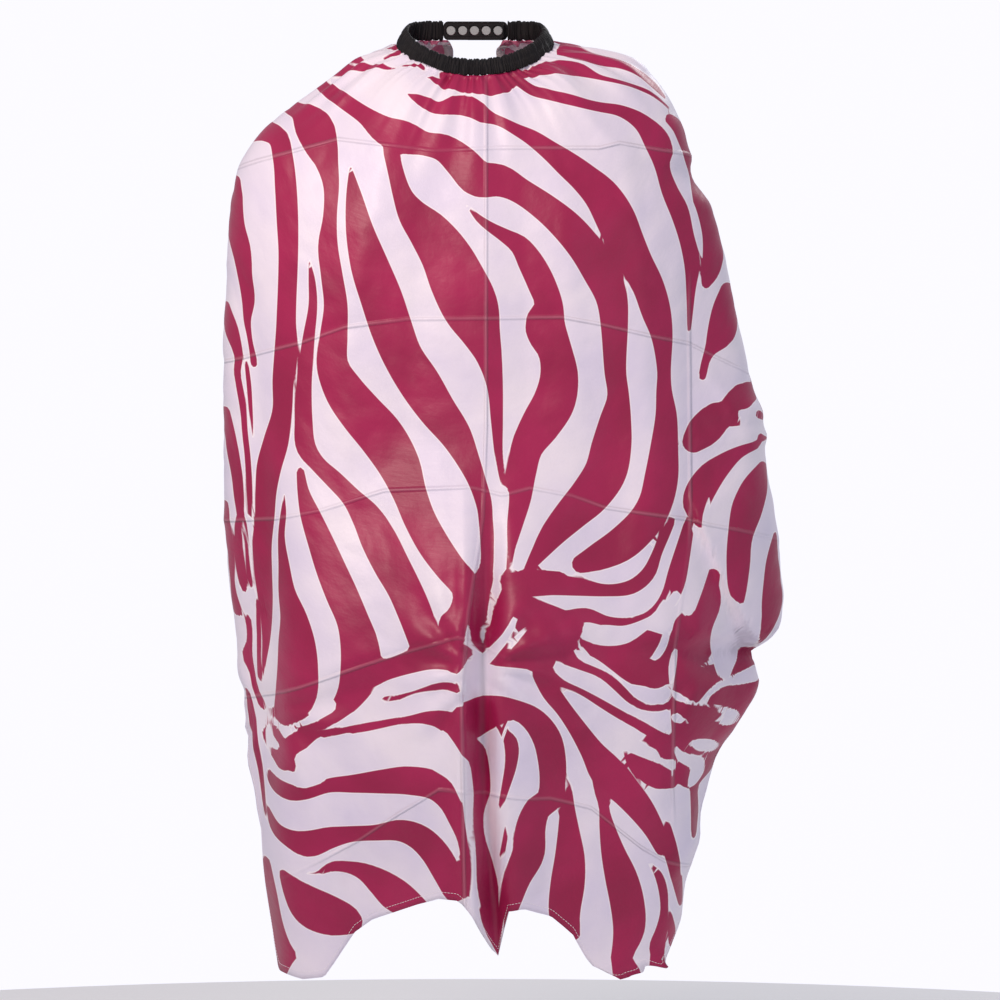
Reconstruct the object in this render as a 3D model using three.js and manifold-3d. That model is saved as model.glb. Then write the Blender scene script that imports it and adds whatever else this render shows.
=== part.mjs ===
// A barber cape, hanging as it does over a seated customer, with its neckband snapped shut.
// Millimetres, +Z up. The front of the cape faces -Y and +X is to the right of someone facing it.
// The origin is the centre of the neck, level with the tops of the shoulders.

import * as THREE from 'three';
import { mergeVertices } from 'three/addons/utils/BufferGeometryUtils.js';
import Module from 'manifold-3d';

// ---- driving dimensions ----

// neckband: a ruched casing with an elastic inside it
const neckHalfWidth = 69;      // the casing's top edge, middle of its thickness, at the sides
const neckHalfFront = 54;
const neckHalfBack = 58;
const neckFrontHeight = -13;   // the top edge dips at the throat
const neckBackHeight = 28;     // and rises at the nape
const bandHeight = 19;
const bandThickness = 5;
const casingWall = 1;
const elasticThickness = 1.6;
const elasticHeight = 15;
const bandLeanFront = 33;      // degrees, how far the band lies back over the collarbones
const bandLeanSide = 30;

// closure: two flat tabs that overlap at the nape and snap together
const tabThickness = 1.8;
const tabCornerRadius = 5;
const snapPitch = 12;
const studCount = 5;
const studRowShift = -1;       // the row sits a little nearer the tab's root
const socketStuds = [2, 3];    // the studs that the two sockets are on, counted from 0
const tabEndMargin = 1.25;     // cloth past the last stud
const tabRootMargin = 4.25;    // and between the row of studs and the ruched casing
const overTabMargin = 6;       // and past the last socket, to pull the tab open by
const snapFlangeRadius = 4.75;
const snapFlangeThickness = 0.6;
const studHeadRadius = 2.05;
const studNeckRadius = 1.7;
const studHeight = 1.5;        // above the flange
const socketRadius = 5;
const socketThickness = 2.2;
const socketBackWall = 0.4;
const socketBackHoleRadius = 0.8;
const capRadius = 5.2;
const capDome = 1.3;
const shankRadius = 1.4;

// cape: where the cloth hangs to, measured from the origin
const leftReach = 255;         // over the arm on the left
const rightReach = 308;        // the corner flap on the right swings wider
const frontReach = 228;        // over the hands in the lap
const backReach = 131;
const frontDrop = 850;
const leftDrop = 636;
const rightDrop = 622;
const backDrop = 625;
const cornerDrop = 168;        // the two bottom corners hang this much lower than the sides do
const clothThickness = 2;
const backSlitMiddle = 17;     // half the width of the back opening below the shoulders
const backSlitHem = 44;
const pleatDepth = 22;         // the pleat that runs down the middle of the front
const pleatWidth = 26;
const pleatDrop = 46;          // the pleat carries the hem down to a point
const foldDepth = 9;           // the soft folds round the rest of the hem
const foldCount = 9;
const foldStart = 0.15;        // the shares of the way down between which the folds grow
const foldFull = 0.9;
const seamEase = 0.12;         // the share within which the cloth takes up the line of the band
const squareBy = 0.3;          // the share by which the cloth hangs in its squared-off ellipse

// clearances
const stitchGap = 0.3;         // between pieces that are sewn edge to edge
const seatGap = 0.1;           // between a snap's pieces and the cloth that they clamp
const snapGap = 0.25;          // between a closed snap's flange and its socket
const shankClearance = 0.3;
const socketClearance = 0.4;   // round a stud's head, where the socket's spring ring closes in
const recessClearance = 0.3;
const elasticEndGap = 1;

// how finely the curved pieces are divided
const capeSteps = { around: 60, down: 22 };
const casingSteps = 44;
const snapSides = 14;
const filletSteps = 4;
const rowCrowding = 1.3;       // rows lie closer together near the neck
const probe = 1e-3;            // the small step that slopes are measured over

// ---- shared shape of the neckline ----

// Half the space between the two ends of the ruched casing, which the row of studs fills.
const rootHalfGap = (studCount - 1) / 2 * snapPitch + snapFlangeRadius + tabRootMargin;

const degrees = Math.PI / 180;
const roundness = { front: 1, neckBack: 0.6, cape: 0.85 };
const neckRisePower = 2.15;

// Raises a number to a power and keeps its sign, which squares off an ellipse.
function signedPower(value, power) {
  return Math.sign(value) * Math.abs(value) ** power;
}

function smooth(from, to, value) {
  const share = THREE.MathUtils.clamp((value - from) / (to - from), 0, 1);
  return share * share * (3 - 2 * share);
}

// The band leans outward at the throat and the shoulders, and stands upright at the nape.
function bandLean(azimuth) {
  const side = Math.abs(Math.sin(azimuth));
  const lean = THREE.MathUtils.lerp(bandLeanFront, bandLeanSide, side);
  return lean * degrees * (1 - smooth(100 * degrees, 160 * degrees, Math.abs(azimuth)));
}

// A point on the band's middle surface: azimuth 0 is the throat, and down is measured along the cloth.
function bandPoint(azimuth, down) {
  const atFront = Math.cos(azimuth) > 0;
  const power = atFront ? roundness.front : roundness.neckBack;
  const depth = atFront ? neckHalfFront : neckHalfBack;
  const rise = 1 - ((1 + Math.cos(azimuth)) / 2) ** neckRisePower;
  const lean = bandLean(azimuth);
  const out = down * Math.sin(lean);
  return new THREE.Vector3(
    neckHalfWidth * signedPower(Math.sin(azimuth), power) + out * Math.sin(azimuth),
    -depth * signedPower(Math.cos(azimuth), power) - out * Math.cos(azimuth),
    THREE.MathUtils.lerp(neckFrontHeight, neckBackHeight, rise) - down * Math.cos(lean),
  );
}

// The azimuth at which a squared-off ellipse comes within a given distance of the middle of the back.
function azimuthAtBack(halfGap, halfWidth, power) {
  return Math.PI - Math.asin((halfGap / halfWidth) ** (1 / power));
}

const casingEnd = azimuthAtBack(rootHalfGap, neckHalfWidth, roundness.neckBack);

// ---- helpers ----

const wasm = await Module();
wasm.setup();

function toManifold(geometry) {
  const bare = geometry.clone();
  bare.deleteAttribute('normal');
  bare.deleteAttribute('uv');
  const merged = mergeVertices(bare, 1e-4);
  return new wasm.Manifold(new wasm.Mesh({
    numProp: 3,
    vertProperties: Float32Array.from(merged.attributes.position.array),
    triVerts: Uint32Array.from(merged.index.array),
  }));
}

function toGeometry(solid) {
  const mesh = solid.getMesh();
  const geometry = new THREE.BufferGeometry();
  geometry.setAttribute('position', new THREE.BufferAttribute(mesh.vertProperties, 3));
  geometry.setIndex(new THREE.BufferAttribute(mesh.triVerts, 1));
  geometry.computeVertexNormals();
  return geometry;
}

function fromTriangles(points, triangles) {
  const geometry = new THREE.BufferGeometry();
  const positions = points.flatMap((point) => [point.x, point.y, point.z]);
  geometry.setAttribute('position', new THREE.Float32BufferAttribute(positions, 3));
  geometry.setIndex(triangles);
  geometry.computeVertexNormals();
  return geometry;
}

function addQuad(triangles, a, b, c, d) {
  triangles.push(a, b, c, a, c, d);
}

function finish(color, roughness, metalness = 0) {
  return new THREE.MeshStandardMaterial({ color, roughness, metalness });
}

const materials = {
  cloth: finish(0xc94a6a, 0.55),
  satin: finish(0x1c191b, 0.6),
  elastic: finish(0xe8e4dc, 0.9),
  metal: finish(0x2b2a2d, 0.35, 0.9),
};

function piece(name, geometry, material) {
  const mesh = new THREE.Mesh(geometry, material);
  mesh.name = name;
  return mesh;
}

// ---- cape panel ----

// How the cloth falls from the neck in four directions. Each pair is the share of the full reach and
// the share of the full drop at that point of the way down.
const fall = [
  { at: 0.06, front: [0.38, 0.075], left: [0.48, 0.018], right: [0.43, 0.004], back: [0.64, 0.015] },
  { at: 0.13, front: [0.46, 0.145], left: [0.68, 0.078], right: [0.6, 0.032], back: [0.81, 0.075] },
  { at: 0.2, front: [0.53, 0.225], left: [0.85, 0.15], right: [0.69, 0.11], back: [0.93, 0.155] },
  { at: 0.3, front: [0.58, 0.325], left: [0.96, 0.27], right: [0.79, 0.26], back: [0.99, 0.27] },
  { at: 0.45, front: [0.66, 0.47], left: [1, 0.44], right: [0.88, 0.45], back: [1, 0.44] },
  { at: 0.65, front: [0.94, 0.65], left: [1, 0.67], right: [0.97, 0.68], back: [0.98, 0.65] },
  { at: 0.85, front: [1, 0.84], left: [0.98, 0.86], right: [1, 0.88], back: [0.95, 0.85] },
  { at: 1, front: [0.95, 1], left: [0.94, 1], right: [0.93, 1], back: [0.92, 1] },
];

// The same four curves in millimetres, from the lower edge of the band down, as [reach, height].
function fallCurve(direction, azimuth, reach, drop) {
  const start = bandPoint(azimuth, bandHeight + stitchGap);
  const points = fall.map((row) => [row.at, row[direction][0] * reach, -row[direction][1] * drop]);
  points.unshift([0, Math.max(Math.abs(start.x), Math.abs(start.y)), start.z]);
  return points;
}

const falls = {
  front: fallCurve('front', 0, frontReach, frontDrop),
  left: fallCurve('left', -Math.PI / 2, leftReach, leftDrop),
  right: fallCurve('right', Math.PI / 2, rightReach, rightDrop),
  back: fallCurve('back', Math.PI, backReach, backDrop),
};

// A smooth curve through the listed points, each piece of it a cubic that keeps the points' own slopes.
function along(points, at, column) {
  const last = points.length - 1;
  const slope = (i) => {
    const before = points[Math.max(i - 1, 0)];
    const after = points[Math.min(i + 1, last)];
    return (after[column] - before[column]) / (after[0] - before[0]);
  };
  let i = 0;
  while (i < last - 1 && at > points[i + 1][0]) i += 1;
  const span = points[i + 1][0] - points[i][0];
  const s = (at - points[i][0]) / span;
  return points[i][column] * (1 + 2 * s) * (1 - s) ** 2
    + points[i + 1][column] * s * s * (3 - 2 * s)
    + slope(i) * span * s * (1 - s) ** 2
    + slope(i + 1) * span * s * s * (s - 1);
}

// The back opening narrows below the neck and spreads again towards the hem.
function slitHalfWidth(down) {
  const upper = THREE.MathUtils.lerp(rootHalfGap, backSlitMiddle, smooth(0, squareBy, down));
  return upper + (backSlitHem - backSlitMiddle) * smooth(squareBy, 1, down);
}

// The cloth without its folds: four curves swept round an ellipse that squares off below the neck.
function plainDrape(azimuth, down) {
  const atFront = Math.cos(azimuth) > 0;
  const side = azimuth < 0 ? falls.left : falls.right;
  const ahead = atFront ? falls.front : falls.back;
  const neckPower = atFront ? roundness.front : roundness.neckBack;
  const power = THREE.MathUtils.lerp(neckPower, roundness.cape, smooth(0, squareBy, down));
  const facing = Math.cos(azimuth) ** 2;
  const corner = atFront ? cornerDrop * down ** 1.6 * Math.sin(2 * azimuth) ** 2 : 0;
  const height = THREE.MathUtils.lerp(along(side, down, 2), along(ahead, down, 2), facing);
  return new THREE.Vector3(
    along(side, down, 1) * signedPower(Math.sin(azimuth), power),
    -along(ahead, down, 1) * signedPower(Math.cos(azimuth), power),
    height - corner,
  );
}

// The outer face of the cloth. turn runs from -1 to 1, from one back edge round the front to the other.
function drape(turn, down) {
  const sideReach = along(turn < 0 ? falls.left : falls.right, down, 1);
  const power = THREE.MathUtils.lerp(roundness.neckBack, roundness.cape, smooth(0, squareBy, down));
  const azimuth = turn * azimuthAtBack(slitHalfWidth(down), sideReach, power);
  const point = plainDrape(azimuth, down);
  const seam = bandPoint(azimuth, bandHeight + stitchGap);
  point.add(seam.sub(plainDrape(azimuth, 0)).multiplyScalar(1 - smooth(0, seamEase, down)));
  const pleat = pleatDepth * Math.exp(-((point.x / pleatWidth) ** 2)) * (Math.cos(azimuth) > 0 ? 1 : 0);
  const fold = foldDepth * Math.cos(foldCount * azimuth);
  const inward = (pleat - fold) * smooth(foldStart, foldFull, down);
  point.z -= pleatDrop * (pleat / pleatDepth) * down ** 3;
  return point.addScaledVector(new THREE.Vector3(-Math.sin(azimuth), Math.cos(azimuth), 0), inward);
}

// The way out of the cloth at a point, square to its surface.
function outward(turn, down) {
  const across = drape(Math.min(turn + probe, 1), down).sub(drape(Math.max(turn - probe, -1), down));
  const downward = drape(turn, Math.min(down + probe, 1)).sub(drape(turn, Math.max(down - probe, 0)));
  return downward.cross(across).normalize();
}

function capeGeometry() {
  const columns = capeSteps.around + 1;
  const rows = capeSteps.down + 1;
  const outer = [];
  const inner = [];
  for (let row = 0; row < rows; row += 1) {
    const down = (row / capeSteps.down) ** rowCrowding;
    for (let column = 0; column < columns; column += 1) {
      const turn = 2 * column / capeSteps.around - 1;
      const point = drape(turn, down);
      outer.push(point);
      inner.push(point.clone().addScaledVector(outward(turn, down), -clothThickness));
    }
  }
  const triangles = [];
  const layer = columns * rows;
  const at = (row, column) => row * columns + column;
  for (let row = 0; row < capeSteps.down; row += 1) {
    for (let column = 0; column < capeSteps.around; column += 1) {
      const corners = [at(row, column), at(row + 1, column), at(row + 1, column + 1), at(row, column + 1)];
      addQuad(triangles, ...corners);
      addQuad(triangles, ...corners.map((corner) => corner + layer).reverse());
    }
  }
  const rim = [];
  for (let column = 0; column < capeSteps.around; column += 1) rim.push(at(0, column));
  for (let row = 0; row < capeSteps.down; row += 1) rim.push(at(row, capeSteps.around));
  for (let column = capeSteps.around; column > 0; column -= 1) rim.push(at(capeSteps.down, column));
  for (let row = capeSteps.down; row > 0; row -= 1) rim.push(at(row, 0));
  rim.forEach((corner, i) => {
    const next = rim[(i + 1) % rim.length];
    addQuad(triangles, corner, next, next + layer, corner + layer);
  });
  return fromTriangles([...outer, ...inner], triangles);
}

// ---- neckband ----

// One cross-section of a strip that follows the band: its corners are cut back by a chamfer.
function bandSection(azimuth, thickness, height, chamfer) {
  const halfThickness = thickness / 2;
  const halfHeight = height / 2;
  const lean = bandLean(azimuth);
  const middle = bandPoint(azimuth, bandHeight / 2);
  const back = new THREE.Vector3(-Math.sin(azimuth), Math.cos(azimuth), 0);
  const up = back.multiplyScalar(Math.sin(lean)).setZ(Math.cos(lean));
  const ahead = bandPoint(azimuth + probe, bandHeight / 2).sub(bandPoint(azimuth - probe, bandHeight / 2));
  const atEnd = smooth(0.9 * casingEnd, casingEnd, Math.abs(azimuth));
  const out = ahead.cross(up).normalize().lerp(new THREE.Vector3(0, 1, 0), atEnd).normalize();
  const corners = [
    [halfThickness, chamfer - halfHeight], [halfThickness - chamfer, -halfHeight],
    [chamfer - halfThickness, -halfHeight], [-halfThickness, chamfer - halfHeight],
    [-halfThickness, halfHeight - chamfer], [chamfer - halfThickness, halfHeight],
    [halfThickness - chamfer, halfHeight], [halfThickness, halfHeight - chamfer],
  ];
  const place = ([across, rise]) => middle.clone().addScaledVector(out, across).addScaledVector(up, rise);
  return corners.map(place);
}

// A strip swept round the neck, solid, or hollow and open at both ends when it is given an inner section.
function bandStrip(end, outerSection, innerSection) {
  const points = [];
  const sides = 8;
  const stride = innerSection ? 2 * sides : sides;
  for (let i = 0; i <= casingSteps; i += 1) {
    const azimuth = end * (2 * i / casingSteps - 1);
    points.push(...bandSection(azimuth, ...outerSection));
    if (innerSection) points.push(...bandSection(azimuth, ...innerSection));
  }
  const triangles = [];
  const last = casingSteps * stride;
  for (let side = 0; side < sides; side += 1) {
    const next = (side + 1) % sides;
    for (let start = 0; start < last; start += stride) {
      addQuad(triangles, start + side, start + next, start + stride + next, start + stride + side);
      if (innerSection) {
        const inside = start + sides;
        addQuad(triangles, inside + side, inside + stride + side, inside + stride + next, inside + next);
      }
    }
    if (innerSection) {
      addQuad(triangles, side, sides + side, sides + next, next);
      addQuad(triangles, last + side, last + next, last + sides + next, last + sides + side);
    }
  }
  for (let side = 1; side < sides - 1 && !innerSection; side += 1) {
    triangles.push(0, side + 1, side);
    triangles.push(last, last + side, last + side + 1);
  }
  return fromTriangles(points, triangles);
}

// ---- closure ----

const rootY = bandPoint(casingEnd, bandHeight / 2).y;
const tabMiddle = neckBackHeight - bandHeight / 2;
const snapRise = snapFlangeThickness + snapGap + socketThickness + 2 * seatGap;
const underTabInner = rootY - (snapRise + 2 * tabThickness) / 2;
const underTabOuter = underTabInner + tabThickness;
const overTabInner = underTabOuter + snapRise;
const overTabOuter = overTabInner + tabThickness;
const holeRadius = shankRadius + shankClearance;
const postRecess = snapFlangeThickness + 2 * seatGap;
const rootX = rootHalfGap - stitchGap;
const studPlace = (i) => (i - (studCount - 1) / 2) * snapPitch + studRowShift;
const studX = Array.from({ length: studCount }, (_, i) => studPlace(i));
const socketX = socketStuds.map((i) => studX[i]);
const underTabFree = studX[studCount - 1] + snapFlangeRadius + tabEndMargin;
const overTabFree = socketX[0] - socketRadius - overTabMargin;

// A flat tab in the X-Z plane: square where it is sewn on and rounded at its free end, with a hole for
// each shank.
function tabGeometry(root, free, holes, innerFace) {
  const towards = Math.sign(free - root);
  const half = bandHeight / 2;
  const r = tabCornerRadius;
  const outline = new THREE.Shape();
  outline.moveTo(root, -half);
  outline.lineTo(free - towards * r, -half);
  outline.quadraticCurveTo(free, -half, free, -half + r);
  outline.lineTo(free, half - r);
  outline.quadraticCurveTo(free, half, free - towards * r, half);
  outline.lineTo(root, half);
  outline.closePath();
  for (const x of holes) {
    const hole = new THREE.Path();
    hole.absarc(x, 0, holeRadius, 0, 2 * Math.PI);
    outline.holes.push(hole);
  }
  const settings = { depth: tabThickness, bevelEnabled: false, curveSegments: filletSteps };
  const geometry = new THREE.ExtrudeGeometry(outline, settings);
  geometry.rotateX(Math.PI / 2);
  geometry.translate(0, innerFace + tabThickness, tabMiddle);
  return geometry;
}

// The under tab has a shallow seat on its neck side for each crimped post, so that it lies flat on the skin.
function underTabGeometry() {
  let tab = toManifold(tabGeometry(-rootX, underTabFree, studX, underTabInner));
  for (const x of studX) {
    const radius = snapFlangeRadius + recessClearance;
    const seat = new THREE.CylinderGeometry(radius, radius, 2 * postRecess, snapSides);
    seat.translate(x, underTabInner, tabMiddle);
    tab = tab.subtract(toManifold(seat));
  }
  return toGeometry(tab);
}

// A turned snap piece: its profile is [radius, distance along the axis], and the axis points to +Y.
function turned(profile) {
  const points = profile.map(([radius, rise]) => new THREE.Vector2(radius, rise));
  return new THREE.LatheGeometry(points, snapSides);
}

// The stud sits on the under tab and its knob points outward.
const studProfile = [
  [0, 0], [snapFlangeRadius, 0], [snapFlangeRadius, snapFlangeThickness],
  [studNeckRadius, snapFlangeThickness],
  [studNeckRadius, snapFlangeThickness + 0.3 * studHeight],
  [studHeadRadius, snapFlangeThickness + 0.7 * studHeight],
  [0.6 * studHeadRadius, snapFlangeThickness + studHeight],
  [0, snapFlangeThickness + studHeight],
];

// The post clamps the stud from the neck side: a disc in its seat, and a shank through the under tab.
const shankLength = tabThickness - postRecess + seatGap;
const postProfile = [
  [0, -snapFlangeThickness], [0.9 * snapFlangeRadius, -snapFlangeThickness],
  [snapFlangeRadius, -0.5 * snapFlangeThickness], [snapFlangeRadius, 0],
  [shankRadius, 0], [shankRadius, shankLength], [0, shankLength],
];

// The socket sits on the inner face of the over tab, with its bore towards the stud.
const boreRadius = studHeadRadius + socketClearance;
const boreDepth = socketThickness - socketBackWall;
const socketProfile = [
  [socketBackHoleRadius, boreDepth], [boreRadius, boreDepth], [boreRadius, 0],
  [0.86 * socketRadius, 0], [socketRadius, 0.3 * socketThickness],
  [socketRadius, socketThickness], [socketBackHoleRadius, socketThickness],
  [socketBackHoleRadius, boreDepth],
];

// The cap is the domed face of the snap, with a shank through the over tab to the socket.
const capProfile = [
  [0, -tabThickness - seatGap], [shankRadius, -tabThickness - seatGap], [shankRadius, 0], [capRadius, 0],
  [capRadius, 0.35 * capDome], [0.8 * capRadius, 0.75 * capDome], [0.4 * capRadius, capDome], [0, capDome],
];

function snapPiece(name, profile, x, y) {
  const mesh = piece(name, turned(profile), materials.metal);
  mesh.position.set(x, y, tabMiddle);
  return mesh;
}

// ---- assembly ----

const cape = new THREE.Group();
cape.add(piece('cape_panel', capeGeometry(), materials.cloth));

const neckband = new THREE.Group();
const casingOuter = [bandThickness, bandHeight, casingWall];
const casingInner = [bandThickness - 2 * casingWall, bandHeight - 2 * casingWall, casingWall / 2];
neckband.add(piece('neckband_casing', bandStrip(casingEnd, casingOuter, casingInner), materials.satin));
const elasticEnd = casingEnd - elasticEndGap / neckHalfWidth;
const elasticSection = [elasticThickness, elasticHeight, elasticThickness / 4];
neckband.add(piece('neckband_elastic', bandStrip(elasticEnd, elasticSection), materials.elastic));
cape.add(neckband);

const underTab = new THREE.Group();
underTab.add(piece('under_tab', underTabGeometry(), materials.satin));
studX.forEach((x, i) => {
  underTab.add(snapPiece(`snap_stud_${i + 1}`, studProfile, x, underTabOuter + seatGap));
  underTab.add(snapPiece(`snap_post_${i + 1}`, postProfile, x, underTabInner + postRecess - seatGap));
});
cape.add(underTab);

const overTab = new THREE.Group();
overTab.add(piece('over_tab', tabGeometry(rootX, overTabFree, socketX, overTabInner), materials.satin));
socketX.forEach((x, i) => {
  const socketY = overTabInner - seatGap - socketThickness;
  overTab.add(snapPiece(`snap_socket_${i + 1}`, socketProfile, x, socketY));
  overTab.add(snapPiece(`snap_cap_${i + 1}`, capProfile, x, overTabOuter + seatGap));
});
cape.add(overTab);

export default cape;
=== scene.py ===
# Looks for the barber cape. Lengths are in millimetres until a mesh is made, then in metres.
# x is across, -y is the front, z is up, and the origin is the middle of the neck.
import math
import bmesh
import bpy
import numpy as np
from mathutils import Matrix, Vector


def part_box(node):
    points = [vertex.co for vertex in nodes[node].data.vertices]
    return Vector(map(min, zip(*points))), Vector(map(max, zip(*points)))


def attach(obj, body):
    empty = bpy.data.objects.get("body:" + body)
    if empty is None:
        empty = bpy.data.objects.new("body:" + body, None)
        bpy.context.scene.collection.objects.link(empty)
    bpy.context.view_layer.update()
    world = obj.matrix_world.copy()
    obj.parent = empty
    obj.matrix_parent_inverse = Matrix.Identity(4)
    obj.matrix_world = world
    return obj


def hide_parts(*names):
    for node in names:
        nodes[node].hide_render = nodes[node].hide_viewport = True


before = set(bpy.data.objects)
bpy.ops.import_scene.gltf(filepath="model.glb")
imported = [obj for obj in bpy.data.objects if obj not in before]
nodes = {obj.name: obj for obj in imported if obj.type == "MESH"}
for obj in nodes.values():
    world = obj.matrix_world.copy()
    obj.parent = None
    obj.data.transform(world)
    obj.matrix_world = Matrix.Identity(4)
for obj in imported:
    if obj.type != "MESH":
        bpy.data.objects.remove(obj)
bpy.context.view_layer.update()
metre = 0.001
degree = math.pi / 180
print("frame loaded")


def smooth(low, high, value):
    # eases from 0 at low to 1 at high
    share = np.clip((value - low) / (high - low), 0, 1)
    return share * share * (3 - 2 * share)


def mix(first, second, share):
    return first + (second - first) * share


def signedPower(value, power):
    # raises the size to a power and keeps the sign, which squares off an ellipse
    return np.sign(value) * np.abs(value) ** power


def unit(vectors):
    return vectors / np.maximum(np.linalg.norm(vectors, axis=-1, keepdims=True), 1e-9)


def along(points, at):
    # a cubic through each neighbouring pair of points, with the slopes that their own neighbours give
    points = np.array(points, float)
    knots, values = points[:, 0], points[:, 1:]
    count = np.arange(len(knots))
    before, after = np.maximum(count - 1, 0), np.minimum(count + 1, len(knots) - 1)
    slopes = (values[after] - values[before]) / (knots[after] - knots[before])[:, None]
    i = np.clip(np.searchsorted(knots, at, side="left") - 1, 0, len(knots) - 2)
    span = (knots[i + 1] - knots[i])[:, None]
    s = (at - knots[i])[:, None] / span
    return (values[i] * (1 + 2 * s) * (1 - s) ** 2 + values[i + 1] * s * s * (3 - 2 * s)
            + slopes[i] * span * s * (1 - s) ** 2 + slopes[i + 1] * span * s * s * (s - 1))


def throughPoints(points, step):
    # given points joined by a smooth curve and divided into even steps
    points = np.array(points, float)
    lengths = np.linalg.norm(np.diff(points[:, :2], axis=0), axis=1)
    knots = np.concatenate([[0], np.cumsum(np.maximum(lengths, 1e-6))])
    at = np.linspace(0, knots[-1], max(2, int(knots[-1] / step) + 1))
    return along(np.column_stack([knots, points]), at)


def strokeDistance(x, y, stroke, reach):
    # distance to the nearest piece of a stroke, less the stroke's half width there; negative is inside it
    result = np.full(x.shape, float(reach))
    low = stroke[:, :2].min(0) - reach - stroke[:, 2].max()
    high = stroke[:, :2].max(0) + reach + stroke[:, 2].max()
    near = (x > low[0]) & (x < high[0]) & (y > low[1]) & (y < high[1])
    px, py = x[near], y[near]
    best = np.full(px.shape, float(reach))
    for a, b in zip(stroke[:-1], stroke[1:]):
        run = b[:2] - a[:2]
        share = np.clip(((px - a[0]) * run[0] + (py - a[1]) * run[1]) / max(run @ run, 1e-9), 0, 1)
        gap = np.hypot(px - a[0] - share * run[0], py - a[1] - share * run[1])
        best = np.minimum(best, gap - np.maximum(a[2] + share * (b[2] - a[2]), 0))
    result[near] = best
    return result


def waves(points, count, shortest, longest, seed):
    # a sum of sine waves in random directions, about 1 high at most places
    source = np.random.default_rng(seed)
    total = np.zeros(points.shape[:-1])
    for _ in range(count):
        direction = unit(source.normal(size=3))
        length = source.uniform(shortest, longest)
        total += np.sin(points @ direction * 2 * math.pi / length + source.uniform(0, 2 * math.pi))
    return total / math.sqrt(count)


def finishPiece(name, points, faces, materials, body):
    # faces is a list of lists of vertex numbers
    mesh = bpy.data.meshes.new(name)
    mesh.from_pydata((points * metre).tolist(), [], faces)
    mesh.polygons.foreach_set("use_smooth", [True] * len(mesh.polygons))
    for material in materials:
        mesh.materials.append(material)
    mesh.update()
    piece = bpy.data.objects.new(name, mesh)
    bpy.context.scene.collection.objects.link(piece)
    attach(piece, body)
    return piece


def gridFaces(rows, columns, wrapRows=False, wrapColumns=False):
    number = np.arange(rows * columns).reshape(rows, columns)
    if wrapRows:
        number = np.vstack([number, number[:1]])
    if wrapColumns:
        number = np.hstack([number, number[:, :1]])
    corners = [number[:-1, :-1], number[1:, :-1], number[1:, 1:], number[:-1, 1:]]
    return np.stack([c.ravel() for c in corners], axis=1)


def facesWithPrint(rows, columns, field):
    # each square of the grid is split along the diagonal whose ends differ least in the field,
    # so the edge of a slanting stripe stays even
    a, b, c, d = gridFaces(rows, columns).T
    value = field.ravel()
    alongFirst = (np.abs(value[a] - value[c]) <= np.abs(value[b] - value[d]))[:, None]
    one = np.where(alongFirst, np.stack([a, b, c], axis=1), np.stack([b, c, d], axis=1))
    two = np.where(alongFirst, np.stack([a, c, d], axis=1), np.stack([d, a, b], axis=1))
    return np.concatenate([one, two])


def tubePiece(name, points, material, body):
    # a grid whose rows go once round a section and whose columns go along it, closed at both ends
    rows, columns = points.shape[:2]
    faces = gridFaces(rows, columns, wrapRows=True).tolist()
    start = np.arange(rows) * columns
    faces += [start.tolist(), (start + columns - 1)[::-1].tolist()]
    return finishPiece(name, points.reshape(-1, 3), faces, [material], body)


def stitchRun(name, path, normals, thread, material, body):
    # one small pointed bead per stitch, lying along the path: three rings between two tips
    forward = unit(np.gradient(path, axis=0))
    side = unit(np.cross(normals, forward))
    up = unit(np.cross(forward, side))
    sides = thread["sides"]
    turns = np.arange(sides) * 2 * math.pi / sides
    bead = [[-0.5, 0, 0]]
    for place, size in ((-0.36, 0.8), (0, 1), (0.36, 0.8)):
        bead += [[place, size * math.cos(t), size * math.sin(t)] for t in turns]
    bead = np.array(bead + [[0.5, 0, 0]])
    this = np.arange(sides)
    after = (this + 1) % sides
    faces = np.stack([np.zeros(sides, int), 1 + after, 1 + this], axis=1).tolist()
    for ring in range(2):
        low, high = 1 + ring * sides, 1 + (ring + 1) * sides
        faces += np.stack([low + this, low + after, high + after, high + this], axis=1).tolist()
    low, tip = 1 + 2 * sides, np.full(sides, 1 + 3 * sides)
    faces += np.stack([low + this, low + after, tip], axis=1).tolist()
    points = (path[:, None, :] + forward[:, None, :] * bead[None, :, 0:1] * thread["length"]
              + side[:, None, :] * bead[None, :, 1:2] * thread["radius"]
              + up[:, None, :] * bead[None, :, 2:3] * thread["radius"])
    offsets = np.arange(len(path))[:, None] * len(bead)
    allFaces = []
    for face in faces:
        allFaces += (offsets + np.array(face)[None, :]).tolist()
    return finishPiece(name, points.reshape(-1, 3), allFaces, [material], body)


def evenPlaces(path, pitch):
    # places along a path that are one pitch apart, and how far along it each of its points is
    lengths = np.concatenate([[0], np.cumsum(np.linalg.norm(np.diff(path, axis=0), axis=1))])
    return np.arange(pitch, lengths[-1] - pitch, pitch), lengths


def resample(values, lengths, at):
    return np.column_stack([np.interp(at, lengths, values[:, k]) for k in range(values.shape[1])])


def linear(code):
    # turns an sRGB hex colour into the linear numbers that a shader takes
    parts = np.array([int(code[i:i + 2], 16) / 255 for i in (1, 3, 5)])
    parts = np.where(parts <= 0.04045, parts / 12.92, ((parts + 0.055) / 1.055) ** 2.4)
    return (*parts.tolist(), 1.0)


def add(tree, kind, inputs=None, **settings):
    node = tree.nodes.new(kind)
    for name, value in settings.items():
        setattr(node, name, value)
    for name, value in (inputs or {}).items():
        if isinstance(value, bpy.types.NodeSocket):
            tree.links.new(value, node.inputs[name])
        else:
            node.inputs[name].default_value = value
    return node


def newMaterial(name):
    material = bpy.data.materials.new(name)
    material.use_nodes = True
    tree = material.node_tree
    tree.nodes.clear()
    return material, tree


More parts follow.
